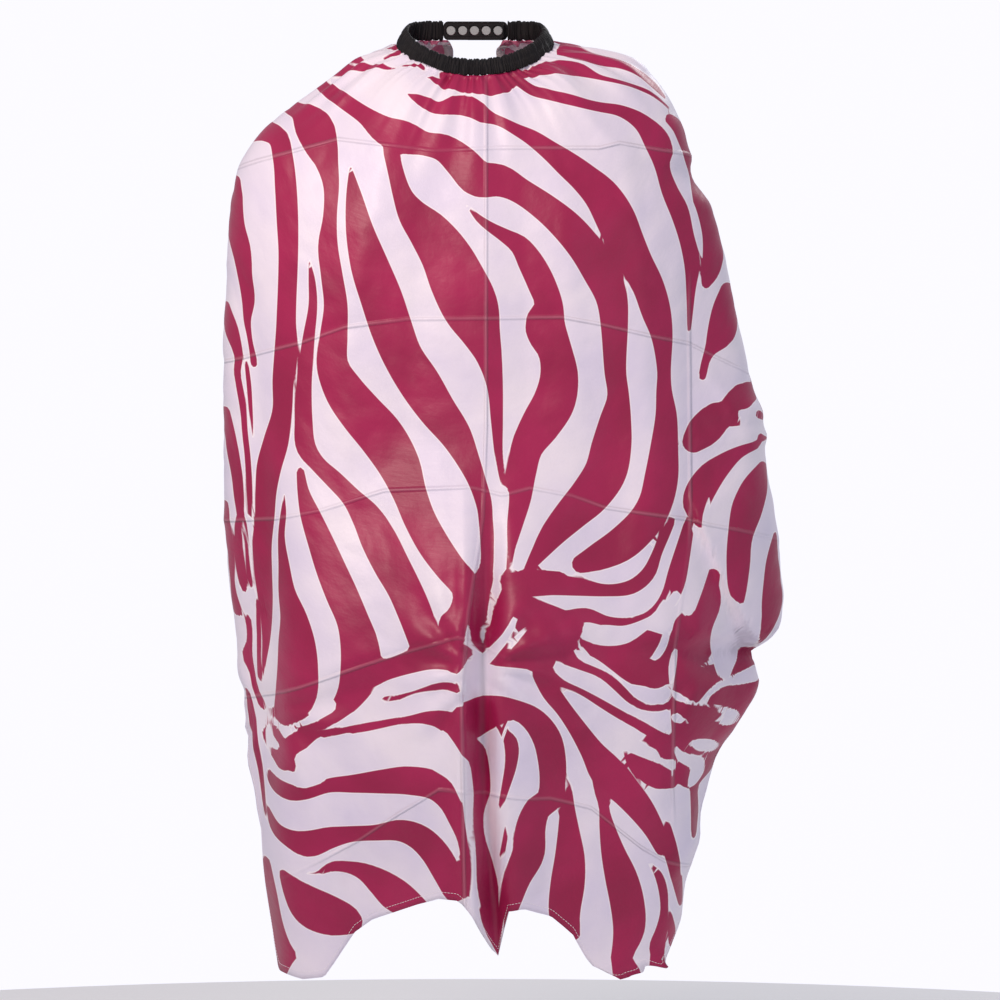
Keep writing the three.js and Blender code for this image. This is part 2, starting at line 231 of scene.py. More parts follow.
def blendColours(tree, share, first, second):
    node = add(tree, "ShaderNodeMix", data_type="RGBA")
    for socket, value in ((0, share), (6, first), (7, second)):
        if isinstance(value, bpy.types.NodeSocket):
            tree.links.new(value, node.inputs[socket])
        else:
            node.inputs[socket].default_value = value
    return node.outputs[2]


def closeMaterial(tree, inputs):
    shader = add(tree, "ShaderNodeBsdfPrincipled", inputs)
    add(tree, "ShaderNodeOutputMaterial", {"Surface": shader.outputs[0]})


def attribute(tree, name):
    return add(tree, "ShaderNodeAttribute", attribute_name=name).outputs["Fac"]


def worked(tree, operation, first, second=0.5):
    return add(tree, "ShaderNodeMath", {0: first, 1: second}, operation=operation).outputs[0]


def ramp(tree, value, start, end, low=0.0, high=1.0, ease="LINEAR"):
    # runs from low, where the value is start, to high, where it is end
    return add(tree, "ShaderNodeMapRange", {"Value": value, "From Min": start, "From Max": end,
               "To Min": low, "To Max": high}, interpolation_type=ease).outputs[0]


def noise(tree, place, scale, detail, more=None, **settings):
    inputs = {"Vector": place, "Scale": scale, "Detail": detail, **(more or {})}
    return add(tree, "ShaderNodeTexNoise", inputs, **settings).outputs[0]


def bumped(tree, height, strength, distance, over=None):
    # the normal with a height laid on it, over another such normal or over the bare surface
    inputs = {"Height": height, "Strength": strength, "Distance": distance}
    if over is not None:
        inputs["Normal"] = over
    return add(tree, "ShaderNodeBump", inputs).outputs[0]


def objectPlace(tree):
    return add(tree, "ShaderNodeTexCoord").outputs["Object"]


cloth = {
    "crimson": "#A91B53", "crimsonDeep": "#961647", "white": "#EFE8F3", "whiteCool": "#E2DBEF",
    "whiteOutline": "#F6F0F8",
    "insideCrimson": "#CC6F90", "insideWhite": "#EFEBF2",
    "edge": 0.45,        # mm over which the dye fades at the edge of a stripe
    "threadPitch": 1.1,  # mm, coarser than the 0.15 mm of real satin so that it shows at all
    "outline": 1.2,      # mm of brighter white left round each stripe by the transfer
    "foldWidth": 3.2, "foldHighlightShare": 0.1, "foldHighlightColour": "#EFE3EC",  # mm, share and colour of the paler line along a packet fold: a painted highlight where the crease catches the light
    "toneSize": 90, "crumpleSize": 14, "wrinkleSize": 85, "slubAcross": 18, "slubDown": 1.6,  # mm
    "width": 1400, "length": 1000,  # mm that the cloth's UV square stands for
}


def printedSatin(name, deep, plain, cool, outline):
    # thin polyester satin, dyed by heat transfer: smooth, softly shining, with fine weft lines and slubs
    material, tree = newMaterial(name)
    plainInside = worked(tree, "MULTIPLY", attribute(tree, "plainLine"), -1.0)
    stripe = worked(tree, "MAXIMUM", attribute(tree, "stripe"), plainInside)
    uv = add(tree, "ShaderNodeUVMap", uv_map="cloth").outputs[0]
    size = (cloth["width"], cloth["length"], 1)
    inMillimetres = add(tree, "ShaderNodeMapping", {"Vector": uv, "Scale": size}).outputs[0]
    dyed = ramp(tree, stripe, cloth["edge"], -cloth["edge"], ease="SMOOTHSTEP")
    toned = ramp(tree, noise(tree, inMillimetres, 1 / cloth["toneSize"], 3.0), 0.35, 0.65)
    crimson = blendColours(tree, toned, linear(deep[0]), linear(deep[1]))
    white = blendColours(tree, toned, linear(plain), linear(cool))
    beside = ramp(tree, stripe, cloth["outline"], 0.6 * cloth["outline"], ease="SMOOTHSTEP")
    white = blendColours(tree, beside, white, linear(outline))
    colour = blendColours(tree, dyed, white, crimson)
    ridges = []
    for field in ("foldDown", "foldAcross"):
        gap = worked(tree, "ABSOLUTE", attribute(tree, field))
        near = ramp(tree, gap, cloth["foldWidth"], 0.0, ease="SMOOTHERSTEP")
        ridges.append(worked(tree, "MULTIPLY", near, attribute(tree, field + "Strength")))
    ridge = worked(tree, "ADD", *ridges)
    # painted highlight: the colour is tinted paler along each packet fold, where the crease would catch the
    # light
    paintedFoldHighlight = worked(tree, "MULTIPLY", ridge, cloth["foldHighlightShare"])
    colour = blendColours(tree, paintedFoldHighlight, colour, linear(cloth["foldHighlightColour"]))
    weft = add(tree, "ShaderNodeTexWave", {"Vector": inMillimetres, "Distortion": 0.6, "Detail": 1.0,
               "Scale": 1 / cloth["threadPitch"] / math.pi}, bands_direction="Y").outputs["Fac"]
    slubSize = (1 / cloth["slubAcross"], 1 / cloth["slubDown"], 1)
    stretched = add(tree, "ShaderNodeMapping", {"Vector": inMillimetres, "Scale": slubSize}).outputs[0]
    slub = noise(tree, stretched, 1.0, 2.0)
    crumple = noise(tree, inMillimetres, 1 / cloth["crumpleSize"], 4.0, {"Roughness": 0.55})
    wrinkle = noise(tree, inMillimetres, 1 / cloth["wrinkleSize"], 2.0,
                    {"Roughness": 0.4, "Distortion": 0.3}, noise_type="RIDGED_MULTIFRACTAL")
    fine = bumped(tree, worked(tree, "ADD", weft, slub), 0.25, 0.00006)
    coarse = bumped(tree, crumple, 0.5, 0.0011, fine)
    handled = bumped(tree, wrinkle, 0.8, 0.004, coarse)
    creased = bumped(tree, ridge, 0.9, 0.0016, handled)
    rough = ramp(tree, slub, 0.0, 1.0, 0.34, 0.5)
    closeMaterial(tree, {"Base Color": colour, "Roughness": rough, "Normal": creased, "IOR": 1.5,
                         "Sheen Weight": 0.12, "Sheen Roughness": 0.35, "Specular IOR Level": 0.38})
    return material


def threadMaterial(name, colour):
    # spun polyester sewing thread: matt, with a twist that catches the light, painted as lighter bands in its
    # colour as well as bumped
    material, tree = newMaterial(name)
    twist = add(tree, "ShaderNodeTexWave", {"Vector": objectPlace(tree), "Scale": 900.0,
                "Distortion": 2.0}, bands_direction="DIAGONAL").outputs["Fac"]
    # painted highlight: the colour runs lighter along each turn of the twist
    twistHighlight = blendColours(tree, twist, linear(colour[0]), linear(colour[1]))
    bump = bumped(tree, twist, 0.3, 0.0001)
    closeMaterial(tree, {"Base Color": twistHighlight, "Roughness": 0.7, "Normal": bump})
    return material


def blackSatin(name, weaveSize, streak):
    # black polyester satin: dark, with a narrow highlight along each pucker
    material, tree = newMaterial(name)
    place = objectPlace(tree)
    weave = add(tree, "ShaderNodeTexWave", {"Vector": place, "Scale": 1 / weaveSize / math.pi / metre,
                "Distortion": 1.5, "Detail": 2.0}, bands_direction="Z").outputs["Fac"]
    cloud = noise(tree, place, 160.0, 4.0)
    colour = blendColours(tree, cloud, linear("#060507"), linear("#151116"))
    bump = bumped(tree, worked(tree, "ADD", weave, cloud), 0.4, streak)
    rough = ramp(tree, cloud, 0.0, 1.0, 0.42, 0.62)
    closeMaterial(tree, {"Base Color": colour, "Roughness": rough, "Normal": bump,
                         "Sheen Weight": 0.03, "Sheen Roughness": 0.4, "Specular IOR Level": 0.24})
    return material


def knittedElastic(name):
    # warp-knitted elastic: off-white, matt, ribbed along its length
    material, tree = newMaterial(name)
    knit = add(tree, "ShaderNodeTexVoronoi", {"Vector": objectPlace(tree), "Scale": 900.0})
    knit = knit.outputs["Distance"]
    colour = blendColours(tree, knit, linear("#CFCBC2"), linear("#EFEBE2"))
    bump = bumped(tree, knit, 0.5, 0.0003)
    closeMaterial(tree, {"Base Color": colour, "Roughness": 0.85, "Normal": bump})
    return material


def stampedMetal(name):
    # nickel-plated brass, stamped and tumbled: bright, with fine scratches and duller patches
    material, tree = newMaterial(name)
    scratch = noise(tree, objectPlace(tree), 1500.0, 5.0)
    colour = blendColours(tree, scratch, linear("#A9A8A6"), linear("#D2D0CC"))
    rough = ramp(tree, scratch, 0.0, 1.0, 0.2, 0.42)
    bump = bumped(tree, scratch, 0.15, 0.00005)
    closeMaterial(tree, {"Base Color": colour, "Metallic": 1.0, "Roughness": rough, "Normal": bump})
    return material


def enamelledCap(name):
    # black baked enamel over brass: an even satin gloss with a slight orange peel
    material, tree = newMaterial(name)
    peel = noise(tree, objectPlace(tree), 1100.0, 2.0)
    colour = blendColours(tree, peel, linear("#131214"), linear("#1E1C1F"))
    bump = bumped(tree, peel, 0.2, 0.00008)
    closeMaterial(tree, {"Base Color": colour, "Roughness": 0.32, "Normal": bump, "Coat Weight": 0.4,
                         "Coat Roughness": 0.15})
    return material


def paleFloor(name):
    # painted studio floor: matt and nearly even
    material, tree = newMaterial(name)
    cloud = noise(tree, objectPlace(tree), 2.0, 2.0)
    colour = blendColours(tree, cloud, linear("#F1F1F2"), linear("#F6F6F7"))
    closeMaterial(tree, {"Base Color": colour, "Roughness": 0.8})
    return material


satinOutside = printedSatin("printedPolyesterSatin", (cloth["crimson"], cloth["crimsonDeep"]),
                            cloth["white"], cloth["whiteCool"], cloth["whiteOutline"])
satinInside = printedSatin("printedSatinInside", (cloth["insideCrimson"], cloth["insideCrimson"]),
                           cloth["insideWhite"], cloth["insideWhite"], cloth["insideWhite"])
hemThread = threadMaterial("whiteSewingThread", ("#E9E4EA", "#FBF8FB"))
blackThread = threadMaterial("blackSewingThread", ("#1A1719", "#322C30"))
bandSatin = blackSatin("ruchedBlackSatin", 0.5, 0.00025)
tabSatin = blackSatin("flatBlackSatin", 0.6, 0.0002)
elasticKnit = knittedElastic("knittedElastic")
snapMetal = stampedMetal("nickelPlatedBrass")
capEnamel = enamelledCap("blackEnamel")
print("materials made")

neck = {
    "halfWidth": 69, "halfFront": 54, "halfBack": 58,
    "frontHeight": -13, "backHeight": 28, "risePower": 2.15, "backPower": 0.6,
    "bandHeight": 19, "leanFront": 33, "leanSide": 30,
    "rootHalfGap": 33, "seamGap": 0.3,
}


def bandLean(azimuth):
    lean = mix(neck["leanFront"], neck["leanSide"], np.abs(np.sin(azimuth)))
    return lean * degree * (1 - smooth(100 * degree, 160 * degree, np.abs(azimuth)))


def bandPoint(azimuth, down):
    # an ellipse, squared off at the back, that dips at the throat; down follows the band's lean
    atFront = np.cos(azimuth) > 0
    power = np.where(atFront, 1, neck["backPower"])
    depth = np.where(atFront, neck["halfFront"], neck["halfBack"])
    rise = 1 - ((1 + np.cos(azimuth)) / 2) ** neck["risePower"]
    lean = bandLean(azimuth)
    out = down * np.sin(lean)
    return np.stack([
        neck["halfWidth"] * signedPower(np.sin(azimuth), power) + out * np.sin(azimuth),
        -depth * signedPower(np.cos(azimuth), power) - out * np.cos(azimuth),
        mix(neck["frontHeight"], neck["backHeight"], rise) - down * np.cos(lean)], axis=-1)


def bandAxes(azimuth):
    # up along the leaning band, and straight out through it
    lean = bandLean(azimuth)
    sine, cosine = np.sin(azimuth), np.cos(azimuth)
    up = np.stack([-sine * np.sin(lean), cosine * np.sin(lean), np.cos(lean)], axis=-1)
    out = np.stack([sine * np.cos(lean), -cosine * np.cos(lean), np.sin(lean)], axis=-1)
    return up, out


def azimuthAtBack(halfGap, halfWidth, power):
    # where a squared-off ellipse comes within halfGap of the middle of the back
    return math.pi - np.arcsin((halfGap / halfWidth) ** (1 / power))


cape = {
    "columns": 255, "rows": 188, "thickness": 0.6,
    "leftReach": 255, "rightReach": 308, "frontReach": 228, "backReach": 131,
    "frontDrop": 850, "leftDrop": 636, "rightDrop": 622, "backDrop": 625, "cornerDrop": 168,
    "slitMiddle": 17, "slitHem": 44, "power": 0.85, "squareBy": 0.3, "seamEase": 0.12,
    "foldDepth": 9, "foldCount": 9, "foldStart": 0.15, "foldFull": 0.9,
    "gathers": 47, "gatherHeight": 3.2, "gatherLength": 32,
    "softMiddle": 62, "softReach": 50, "softHeight": 2.2,  # the soft folds under the gathers
    "sidesCrowd": 0.38, "rowsCrowd": 1.12,  # how much closer the grid's lines are at the back and the neck
    "hemFrom": 192, "hemTo": 212, "hemPower": 5,  # where the front hem's line fades, and how low it acts
    "hemWidth": 9, "hemBelow": 0.62, "hemDepth": 0.9, "hemStitchInset": 7,
}
hemStitch = {"pitch": 3.2, "length": 2.7, "radius": 0.26, "sides": 6}

# share of the way down, then the share of the reach and of the drop: front, left, right, back
fall = [
    (0.06, 0.38, 0.075, 0.48, 0.018, 0.43, 0.004, 0.64, 0.015),
    (0.13, 0.46, 0.145, 0.68, 0.078, 0.60, 0.032, 0.81, 0.075),
    (0.20, 0.53, 0.225, 0.85, 0.150, 0.69, 0.110, 0.93, 0.155),
    (0.30, 0.58, 0.325, 0.96, 0.270, 0.79, 0.260, 0.99, 0.270),
    (0.45, 0.66, 0.470, 1.00, 0.440, 0.88, 0.450, 1.00, 0.440),
    (0.65, 0.94, 0.650, 1.00, 0.670, 0.97, 0.680, 0.98, 0.650),
    (0.85, 1.00, 0.840, 0.98, 0.860, 1.00, 0.880, 0.95, 0.850),
    (1.00, 0.95, 1.000, 0.94, 1.000, 0.93, 1.000, 0.92, 1.000),
]
# how far out the two sides hang, as (height, reach)
leftOutline = [
    (30, 79), (0, 79), (-8, 104), (-15, 130), (-33, 152), (-55, 175), (-90, 220), (-115, 235), (-160, 247),
    (-215, 253), (-305, 255), (-455, 253), (-540, 246), (-619, 239), (-645, 235), (-712, 227), (-785, 213),
    (-835, 210), (-925, 196),
]
rightOutline = [
    (30, 79), (5, 82), (-3, 113), (-13, 143), (-20, 172), (-35, 186), (-65, 205), (-110, 221), (-120, 218),
    (-135, 222), (-155, 240), (-215, 255), (-285, 267), (-345, 280), (-372, 294), (-380, 289), (-393, 299),
    (-400, 293), (-425, 295), (-495, 305), (-555, 308), (-585, 301), (-604, 272), (-615, 279), (-640, 290),
    (-655, 282), (-680, 265), (-730, 226), (-795, 225), (-835, 210), (-870, 206), (-900, 193), (-925, 186),
]
# the front hem, as (x, height): a lobe at each corner and a point under the middle pleat
frontHem = [
    (-196, -922), (-170, -928), (-148, -925), (-133, -902), (-118, -880), (-100, -867), (-78, -859),
    (-55, -850), (-35, -844), (-15, -846), (-3, -860), (12, -884), (26, -905), (31, -880), (36, -858),
    (55, -855), (85, -863), (110, -882), (125, -905), (138, -927), (152, -923), (170, -920), (186, -914),
]


def drape():
    # four falling curves swept round an ellipse that squares off below the neck, with soft folds
    spread = np.linspace(-1, 1, cape["columns"])
    crowd = cape["sidesCrowd"]
    turn = ((1 - crowd) * spread + crowd * np.sign(spread) * spread ** 4)[None, :]
    rows = np.linspace(0, 1, cape["rows"]) ** cape["rowsCrowd"]
    down = rows[:, None]
    curves = {}
    facing = {"front": 0, "left": -math.pi / 2, "right": math.pi / 2, "back": math.pi}
    for order, (side, azimuth) in enumerate(facing.items()):
        start = bandPoint(np.array(azimuth), neck["bandHeight"] + neck["seamGap"])
        table = [[0, max(abs(start[0]), abs(start[1])), start[2]]]
        for row in fall:
            reach, drop = row[1 + 2 * order:3 + 2 * order]
            table.append([row[0], reach * cape[side + "Reach"], -drop * cape[side + "Drop"]])
        curve = along(table, rows)
        curves[side] = (curve[:, :1], curve[:, 1:])
    sideReach = np.where(turn < 0, curves["left"][0], curves["right"][0])
    sideHeight = np.where(turn < 0, curves["left"][1], curves["right"][1])
    squared = smooth(0, cape["squareBy"], down)
    slit = mix(neck["rootHalfGap"], cape["slitMiddle"], squared)
    slit = slit + (cape["slitHem"] - cape["slitMiddle"]) * smooth(cape["squareBy"], 1, down)
    azimuth = turn * azimuthAtBack(slit, sideReach, mix(neck["backPower"], cape["power"], squared))
    atFront = np.cos(azimuth) > 0
    aheadReach = np.where(atFront, curves["front"][0], curves["back"][0])
    aheadHeight = np.where(atFront, curves["front"][1], curves["back"][1])
    power = mix(np.where(atFront, 1, neck["backPower"]), cape["power"], squared)
    plain = np.stack([
        sideReach * signedPower(np.sin(azimuth), power),
        -aheadReach * signedPower(np.cos(azimuth), power),
        mix(sideHeight, aheadHeight, np.cos(azimuth) ** 2)
        - np.where(atFront, cape["cornerDrop"] * down ** 1.6 * np.sin(2 * azimuth) ** 2, 0)], axis=-1)
    seam = bandPoint(azimuth, neck["bandHeight"] + neck["seamGap"])
    plain += (seam - plain[:1]) * (1 - smooth(0, cape["seamEase"], down))[..., None]
    fold = cape["foldDepth"] * np.cos(cape["foldCount"] * azimuth)
    fold = fold * smooth(cape["foldStart"], cape["foldFull"], down)
    plain[..., 0] += fold * np.sin(azimuth)
    plain[..., 1] -= fold * np.cos(azimuth)
    return plain, azimuth, down


def evened(values, window):
    # a running mean along the rows, which takes the steps out of a line found column by column
    padded = np.pad(values, window // 2, mode="edge")
    return np.convolve(padded, np.ones(window) / window, mode="valid")


# the levels that the outline is matched at, the least and most stretch, the reach below which the sides
# stay as they are, and the heights over which the match stops following small steps
matching = {"lowest": -940, "highest": 36, "step": 6.0, "least": 0.88, "most": 1.14, "narrowest": 60,
            "window": 11, "calmBelow": -130, "calmAbove": -95}


def matchOutline(points, outline, side):
    # stretches one side sideways, so that at each height it reaches as far as the outline says
    heights = points[..., 2].ravel()
    reach = np.maximum(points[..., 0].ravel() * side, 0)
    levels = np.arange(matching["lowest"], matching["highest"], matching["step"])
    furthest = np.zeros(len(levels))
    bins = np.clip(((heights - matching["lowest"]) / matching["step"]).astype(int), 0, len(levels) - 1)
    np.maximum.at(furthest, bins, reach)
    table = np.array(outline)[::-1]
    middles = levels + matching["step"] / 2
    wanted = np.interp(middles, table[:, 0], table[:, 1])
    scale = np.clip(wanted / np.maximum(furthest, 1), matching["least"], matching["most"])
    scale[furthest < matching["narrowest"]] = 1
    scale = np.convolve(np.pad(scale, 1, mode="edge"), [0.25, 0.5, 0.25], mode="valid")
    calm = evened(scale, matching["window"])
    scale = mix(scale, calm, smooth(matching["calmBelow"], matching["calmAbove"], levels))
    factor = np.interp(points[..., 2], middles, scale)
    points[..., 0] *= np.where(points[..., 0] * side > 0, factor, 1)


def normalsOf(points):
    across = np.gradient(points, axis=1)
    down = np.gradient(points, axis=0)
    return unit(np.cross(down, across))


# The cape was folded flat in its packet. Each fold across it: (x, height, strength) from left to right.
packetFolds = [
    [(-260, -131, 1), (-215, -115, 1), (-175, -103, 1), (-138, -93, .9), (-40, -105, .3), (25, -102, .6),
     (125, -102, 1), (145, -97, 1), (197, -106, 1), (320, -125, .4)],
    [(-260, -318, 1), (-230, -311, 1), (-175, -297, 1), (-130, -281, .9), (-67, -273, .6), (25, -272, .7),
     (87, -271, 1), (125, -278, 1), (180, -291, 1), (215, -298, .9), (320, -350, .5)],
    [(-260, -477, 1), (-200, -472, .9), (-153, -463, .5), (-90, -443, .8), (-5, -439, .6), (28, -447, .6),
     (55, -440, .8), (97, -448, .6), (130, -460, 1), (210, -472, 1), (320, -500, .3)],
    [(-260, -660, .5), (-203, -647, 1), (-175, -638, 1), (-130, -622, .9), (-75, -603, .7), (-15, -585, .5),
     (40, -610, 0), (320, -660, 0)],
    [(-260, -860, 0), (-175, -820, .2), (-115, -788, .9), (-75, -760, 1), (-35, -735, .8), (-15, -737, .4),
     (50, -745, .7), (75, -745, .8), (115, -755, .9), (165, -795, 1), (190, -810, .8), (320, -850, 0)],
]
# the fold down the middle, and the one where the cloth turns back on the right: (height, x, strength)
middleFold = [(-10, 11, .3), (-100, 11, .8), (-380, 11, 1), (-470, 8, .6), (-560, -6, .7), (-640, -13, 1),
              (-850, -10, 1), (-930, 4, .6)]
sideFold = [(-10, 230, 0), (-225, 216, 0), (-260, 215, .9), (-470, 215, 1), (-500, 213, .2), (-560, 204, .2),
            (-600, 198, 1), (-740, 196, 1), (-780, 198, 0), (-930, 200, 0)]
# how far the cloth rises to each fold, over what reach, and where the fields of distance stop
foldShape = {"tilt": 2.6, "tiltReach": 15, "acrossShare": 0.7, "furthest": 40}


def foldFields(points, azimuth):
    # signed distances to the packet folds, whose sign changes only at a fold, and how strong each is;
    # kind is 1 where the nearest fold across stands up and -1 where it sinks in
    x, z = points[..., 0], points[..., 2]
    front = 1 - smooth(75 * degree, 110 * degree, np.abs(azimuth))
    nearest, sign, strength = np.full(x.shape, 1e3), np.ones(x.shape), np.zeros(x.shape)
    kind = np.zeros(x.shape)
    for order, fold in enumerate(packetFolds):
        table = np.array(fold, float)
        gap = z - np.interp(x, table[:, 0], table[:, 1])
        closer = np.abs(gap) < nearest
        strength = np.where(closer, np.interp(x, table[:, 0], table[:, 2]), strength)
        kind = np.where(closer, 1 if order % 2 == 0 else -1, kind)
        nearest = np.where(closer, np.abs(gap), nearest)
        sign *= np.where(gap < 0, -1, 1)
    middle, side = np.array(middleFold, float)[::-1], np.array(sideFold, float)[::-1]
    fromMiddle = x - np.interp(z, middle[:, 0], middle[:, 1])
    toSide = np.interp(z, side[:, 0], side[:, 1]) - x
    acrossField = np.minimum(fromMiddle, toSide)
    acrossStrength = np.where(fromMiddle < toSide, np.interp(z, middle[:, 0], middle[:, 2]),
                              np.interp(z, side[:, 0], side[:, 2]))
    furthest = foldShape["furthest"]
    fields = {"foldDown": np.minimum(nearest, furthest) * sign, "foldDownStrength": strength * front,
              "foldAcross": np.clip(acrossField, -furthest, furthest),
              "foldAcrossStrength": acrossStrength * front}
    return fields, kind


# softer draped folds on the front: points as (x, height), then how tall and how soft
creases = [
    ([(-203, -640), (-175, -631), (-130, -615), (-75, -596), (-15, -578)], 6.5, 13),
    ([(-203, -668), (-130, -645), (-75, -625), (-15, -606)], -4.5, 12),
    ([(-190, -690), (-175, -725), (-157, -770), (-140, -820), (-123, -860)], 4, 9),
    ([(165, -870), (150, -900), (137, -923)], 3.5, 8),
    ([(70, -15), (100, -50), (125, -85), (140, -98)], 5, 10),
    ([(55, -25), (72, -70), (88, -120)], -3.5, 10),
    ([(215, -240), (216, -350), (215, -475)], -6, 9),
    ([(196, -595), (200, -680), (196, -755)], -5, 8),
    ([(233, -325), (250, -352), (263, -380), (275, -392)], 4, 8),
    ([(-60, -40), (-95, -130), (-120, -240), (-130, -400)], 7, 26),
    ([(-20, -60), (-45, -150), (-60, -260), (-70, -380)], -5, 22),
    ([(75, -60), (90, -180), (100, -330), (95, -450)], 6, 24),
    ([(40, -60), (48, -200), (52, -350)], -4.5, 20),
    ([(150, -120), (165, -240), (170, -380), (160, -500)], 5, 20),
    ([(-40, -620), (-60, -700), (-60, -800), (-45, -850)], 7, 24),
    ([(-110, -640), (-125, -720), (-120, -820)], -5, 22),
    ([(95, -640), (110, -720), (115, -820), (100, -870)], 7, 22),
    ([(60, -640), (68, -720), (70, -840)], -5, 14),
    ([(-200, -600), (-205, -500), (-215, -380), (-225, -250)], -6, 14),
    ([(155, -560), (170, -500), (180, -380)], 4, 16),
]
# pinched places, from which small folds run out: x, height, nearest and furthest reach, how many folds
# and how tall
pinches = [(5, -615, 26, 135, 11, 2.8), (-212, -664, 28, 120, 8, 2.2), (230, -612, 26, 90, 7, 1.8)]
# the cloth that turns back at the elbow, and the push of the hands in the lap
flap = {"top": (215, -460), "bottom": (273, -603), "step": 9, "valley": 3, "leftLimit": 150}
hands = {"middle": (62, -585), "half": (34, 25), "height": 9, "wrinkle": 1.6}
# wide, slow swells and small dents all over, with the lengths that their waves lie between
swells = {"height": 1.5, "short": 90, "long": 220, "dent": 0.55, "dentShort": 26, "dentLong": 60, "count": 16}


def addCreases(height, x, z, front):
    for line, tall, soft in creases:
        curve = throughPoints([(*point, 0) for point in line], 14)
        gap = np.maximum(strokeDistance(x, z, curve, 5 * soft), 0)
        fade = 1 - smooth(3.5 * soft, 5 * soft, gap)
        height += tall * np.exp(-np.sqrt((gap / soft) ** 2 + 0.12)) * front * fade


def addPinches(height, x, z, front):
    for middleX, middleZ, near, far, count, tall in pinches:
        reach = np.hypot(x - middleX, z - middleZ)
        angle = np.arctan2(z - middleZ, x - middleX)
        ring = smooth(near * 0.4, near * 1.4, reach) * (1 - smooth(near * 1.5, far, reach))
        height += tall * np.cos(count * angle + 0.9 * np.sin(3 * angle) + reach / 45) * ring * front


def addPacketFolds(height, folds, kind):
    reach = foldShape["tiltReach"]
    tilt = np.exp(-np.abs(folds["foldDown"]) / reach) * folds["foldDownStrength"]
    height += foldShape["tilt"] * kind * tilt
    tilt = np.exp(-np.abs(folds["foldAcross"]) / reach) * folds["foldAcrossStrength"]
    height += foldShape["acrossShare"] * foldShape["tilt"] * tilt


def addHands(height, x, z, front):
    acrossShare = (x - hands["middle"][0]) / hands["half"][0]
    downShare = (z - hands["middle"][1]) / hands["half"][1]
    push = np.exp(-(acrossShare ** 2 + downShare ** 2))
    height += (hands["height"] * push + hands["wrinkle"] * push * np.sin(x / 4.5 + z / 7)) * front


def addFlap(height, x, z, front):
    # a step along a slanting line, with a shallow valley beside it
    run = np.array(flap["bottom"], float) - flap["top"]
    length = np.hypot(*run)
    fromTopX, fromTopZ = x - flap["top"][0], z - flap["top"][1]
    side = (fromTopX * run[1] - fromTopZ * run[0]) / length
    place = (fromTopX * run[0] + fromTopZ * run[1]) / length
    window = smooth(-25, 10, place) * (1 - smooth(length, length + 14, place)) * (x > flap["leftLimit"])
    height += flap["step"] * (1 - smooth(-5, 3, side)) * smooth(-75, -15, side) * window * front
    height -= flap["valley"] * np.exp(-((side - 10) / 8) ** 2) * window * front


def addGathers(height, azimuth, pathLength):
    # puckers that fade below the band, uneven in height and in reach, then a few soft folds under them
    wander = 2.2 * np.sin(7 * azimuth + 0.4) + 1.5 * np.sin(17 * azimuth + 1)
    gather = 0.7 * np.cos(0.63 * cape["gathers"] * azimuth - wander)
    gather += 1 - 2 * np.abs(np.sin(cape["gathers"] / 2 * azimuth + wander / 2)) ** 0.7
    uneven = 0.65 + 0.35 * np.sin(11 * azimuth + 2) * np.sin(5 * azimuth)
    fade = np.exp(-pathLength / (cape["gatherLength"] * (0.8 + 0.5 * np.sin(13 * azimuth) ** 2)))
    height += cape["gatherHeight"] * gather * uneven * fade * smooth(0, 4, pathLength)
    soft = np.exp(-((pathLength - cape["softMiddle"]) / cape["softReach"]) ** 2)
    height += cape["softHeight"] * soft * np.cos(19 * azimuth + 2.4 * np.sin(5 * azimuth))


def relief(points, azimuth, pathLength, folds, kind):
    # how far each point stands out of the plain drape
    x, z = points[..., 0], points[..., 2]
    front = 1 - smooth(70 * degree, 105 * degree, np.abs(azimuth))
    height = np.zeros(x.shape)
    addCreases(height, x, z, front)
    addPinches(height, x, z, front)
    addPacketFolds(height, folds, kind)
    addHands(height, x, z, front)
    addFlap(height, x, z, front)
    addGathers(height, azimuth, pathLength)
    swell = swells["height"] * waves(points, swells["count"], swells["short"], swells["long"], 3)
    dent = swells["dent"] * np.abs(waves(points, swells["count"], swells["dentShort"], swells["dentLong"], 4))
    height += smooth(40, 160, pathLength) * (swell + dent)
    return height


# the deep pleat between the knees: its line as distances down and across, where it starts and where it
# is fully deep, and the raised lip on its left
pleat = {"down": (380, 500, 620, 760, 905), "across": (12, 14, 6, 10, 24), "start": 390, "full": 640,
         "depth": 30, "width": 12, "lipHeight": 9, "lipWidth": 8, "lipAway": 21}


def sinkPleat(points, azimuth):
    x, z = points[..., 0], points[..., 2]
    middle = np.interp(-z, pleat["down"], pleat["across"])
    deep = smooth(pleat["start"], pleat["full"], -z) * (np.cos(azimuth) > 0)
    inward = pleat["depth"] * np.exp(-((x - middle) / pleat["width"]) ** 2)
    lip = pleat["lipHeight"] * np.exp(-((x - middle + pleat["lipAway"]) / pleat["lipWidth"]) ** 2)
    points[..., 1] += (inward - lip) * deep


# behind each side's edge: the window that calms the edge, how slowly the print starts back and over how
# far, where it begins and ends to follow the cloth's length, that length's start and share, and the shear
turnBack = {"window": 9, "slowest": 0.35, "easing": 170, "near": 60, "far": 300,
            "lengthStart": 34, "lengthShare": 0.74, "shear": 0.8, "shearReach": 150}


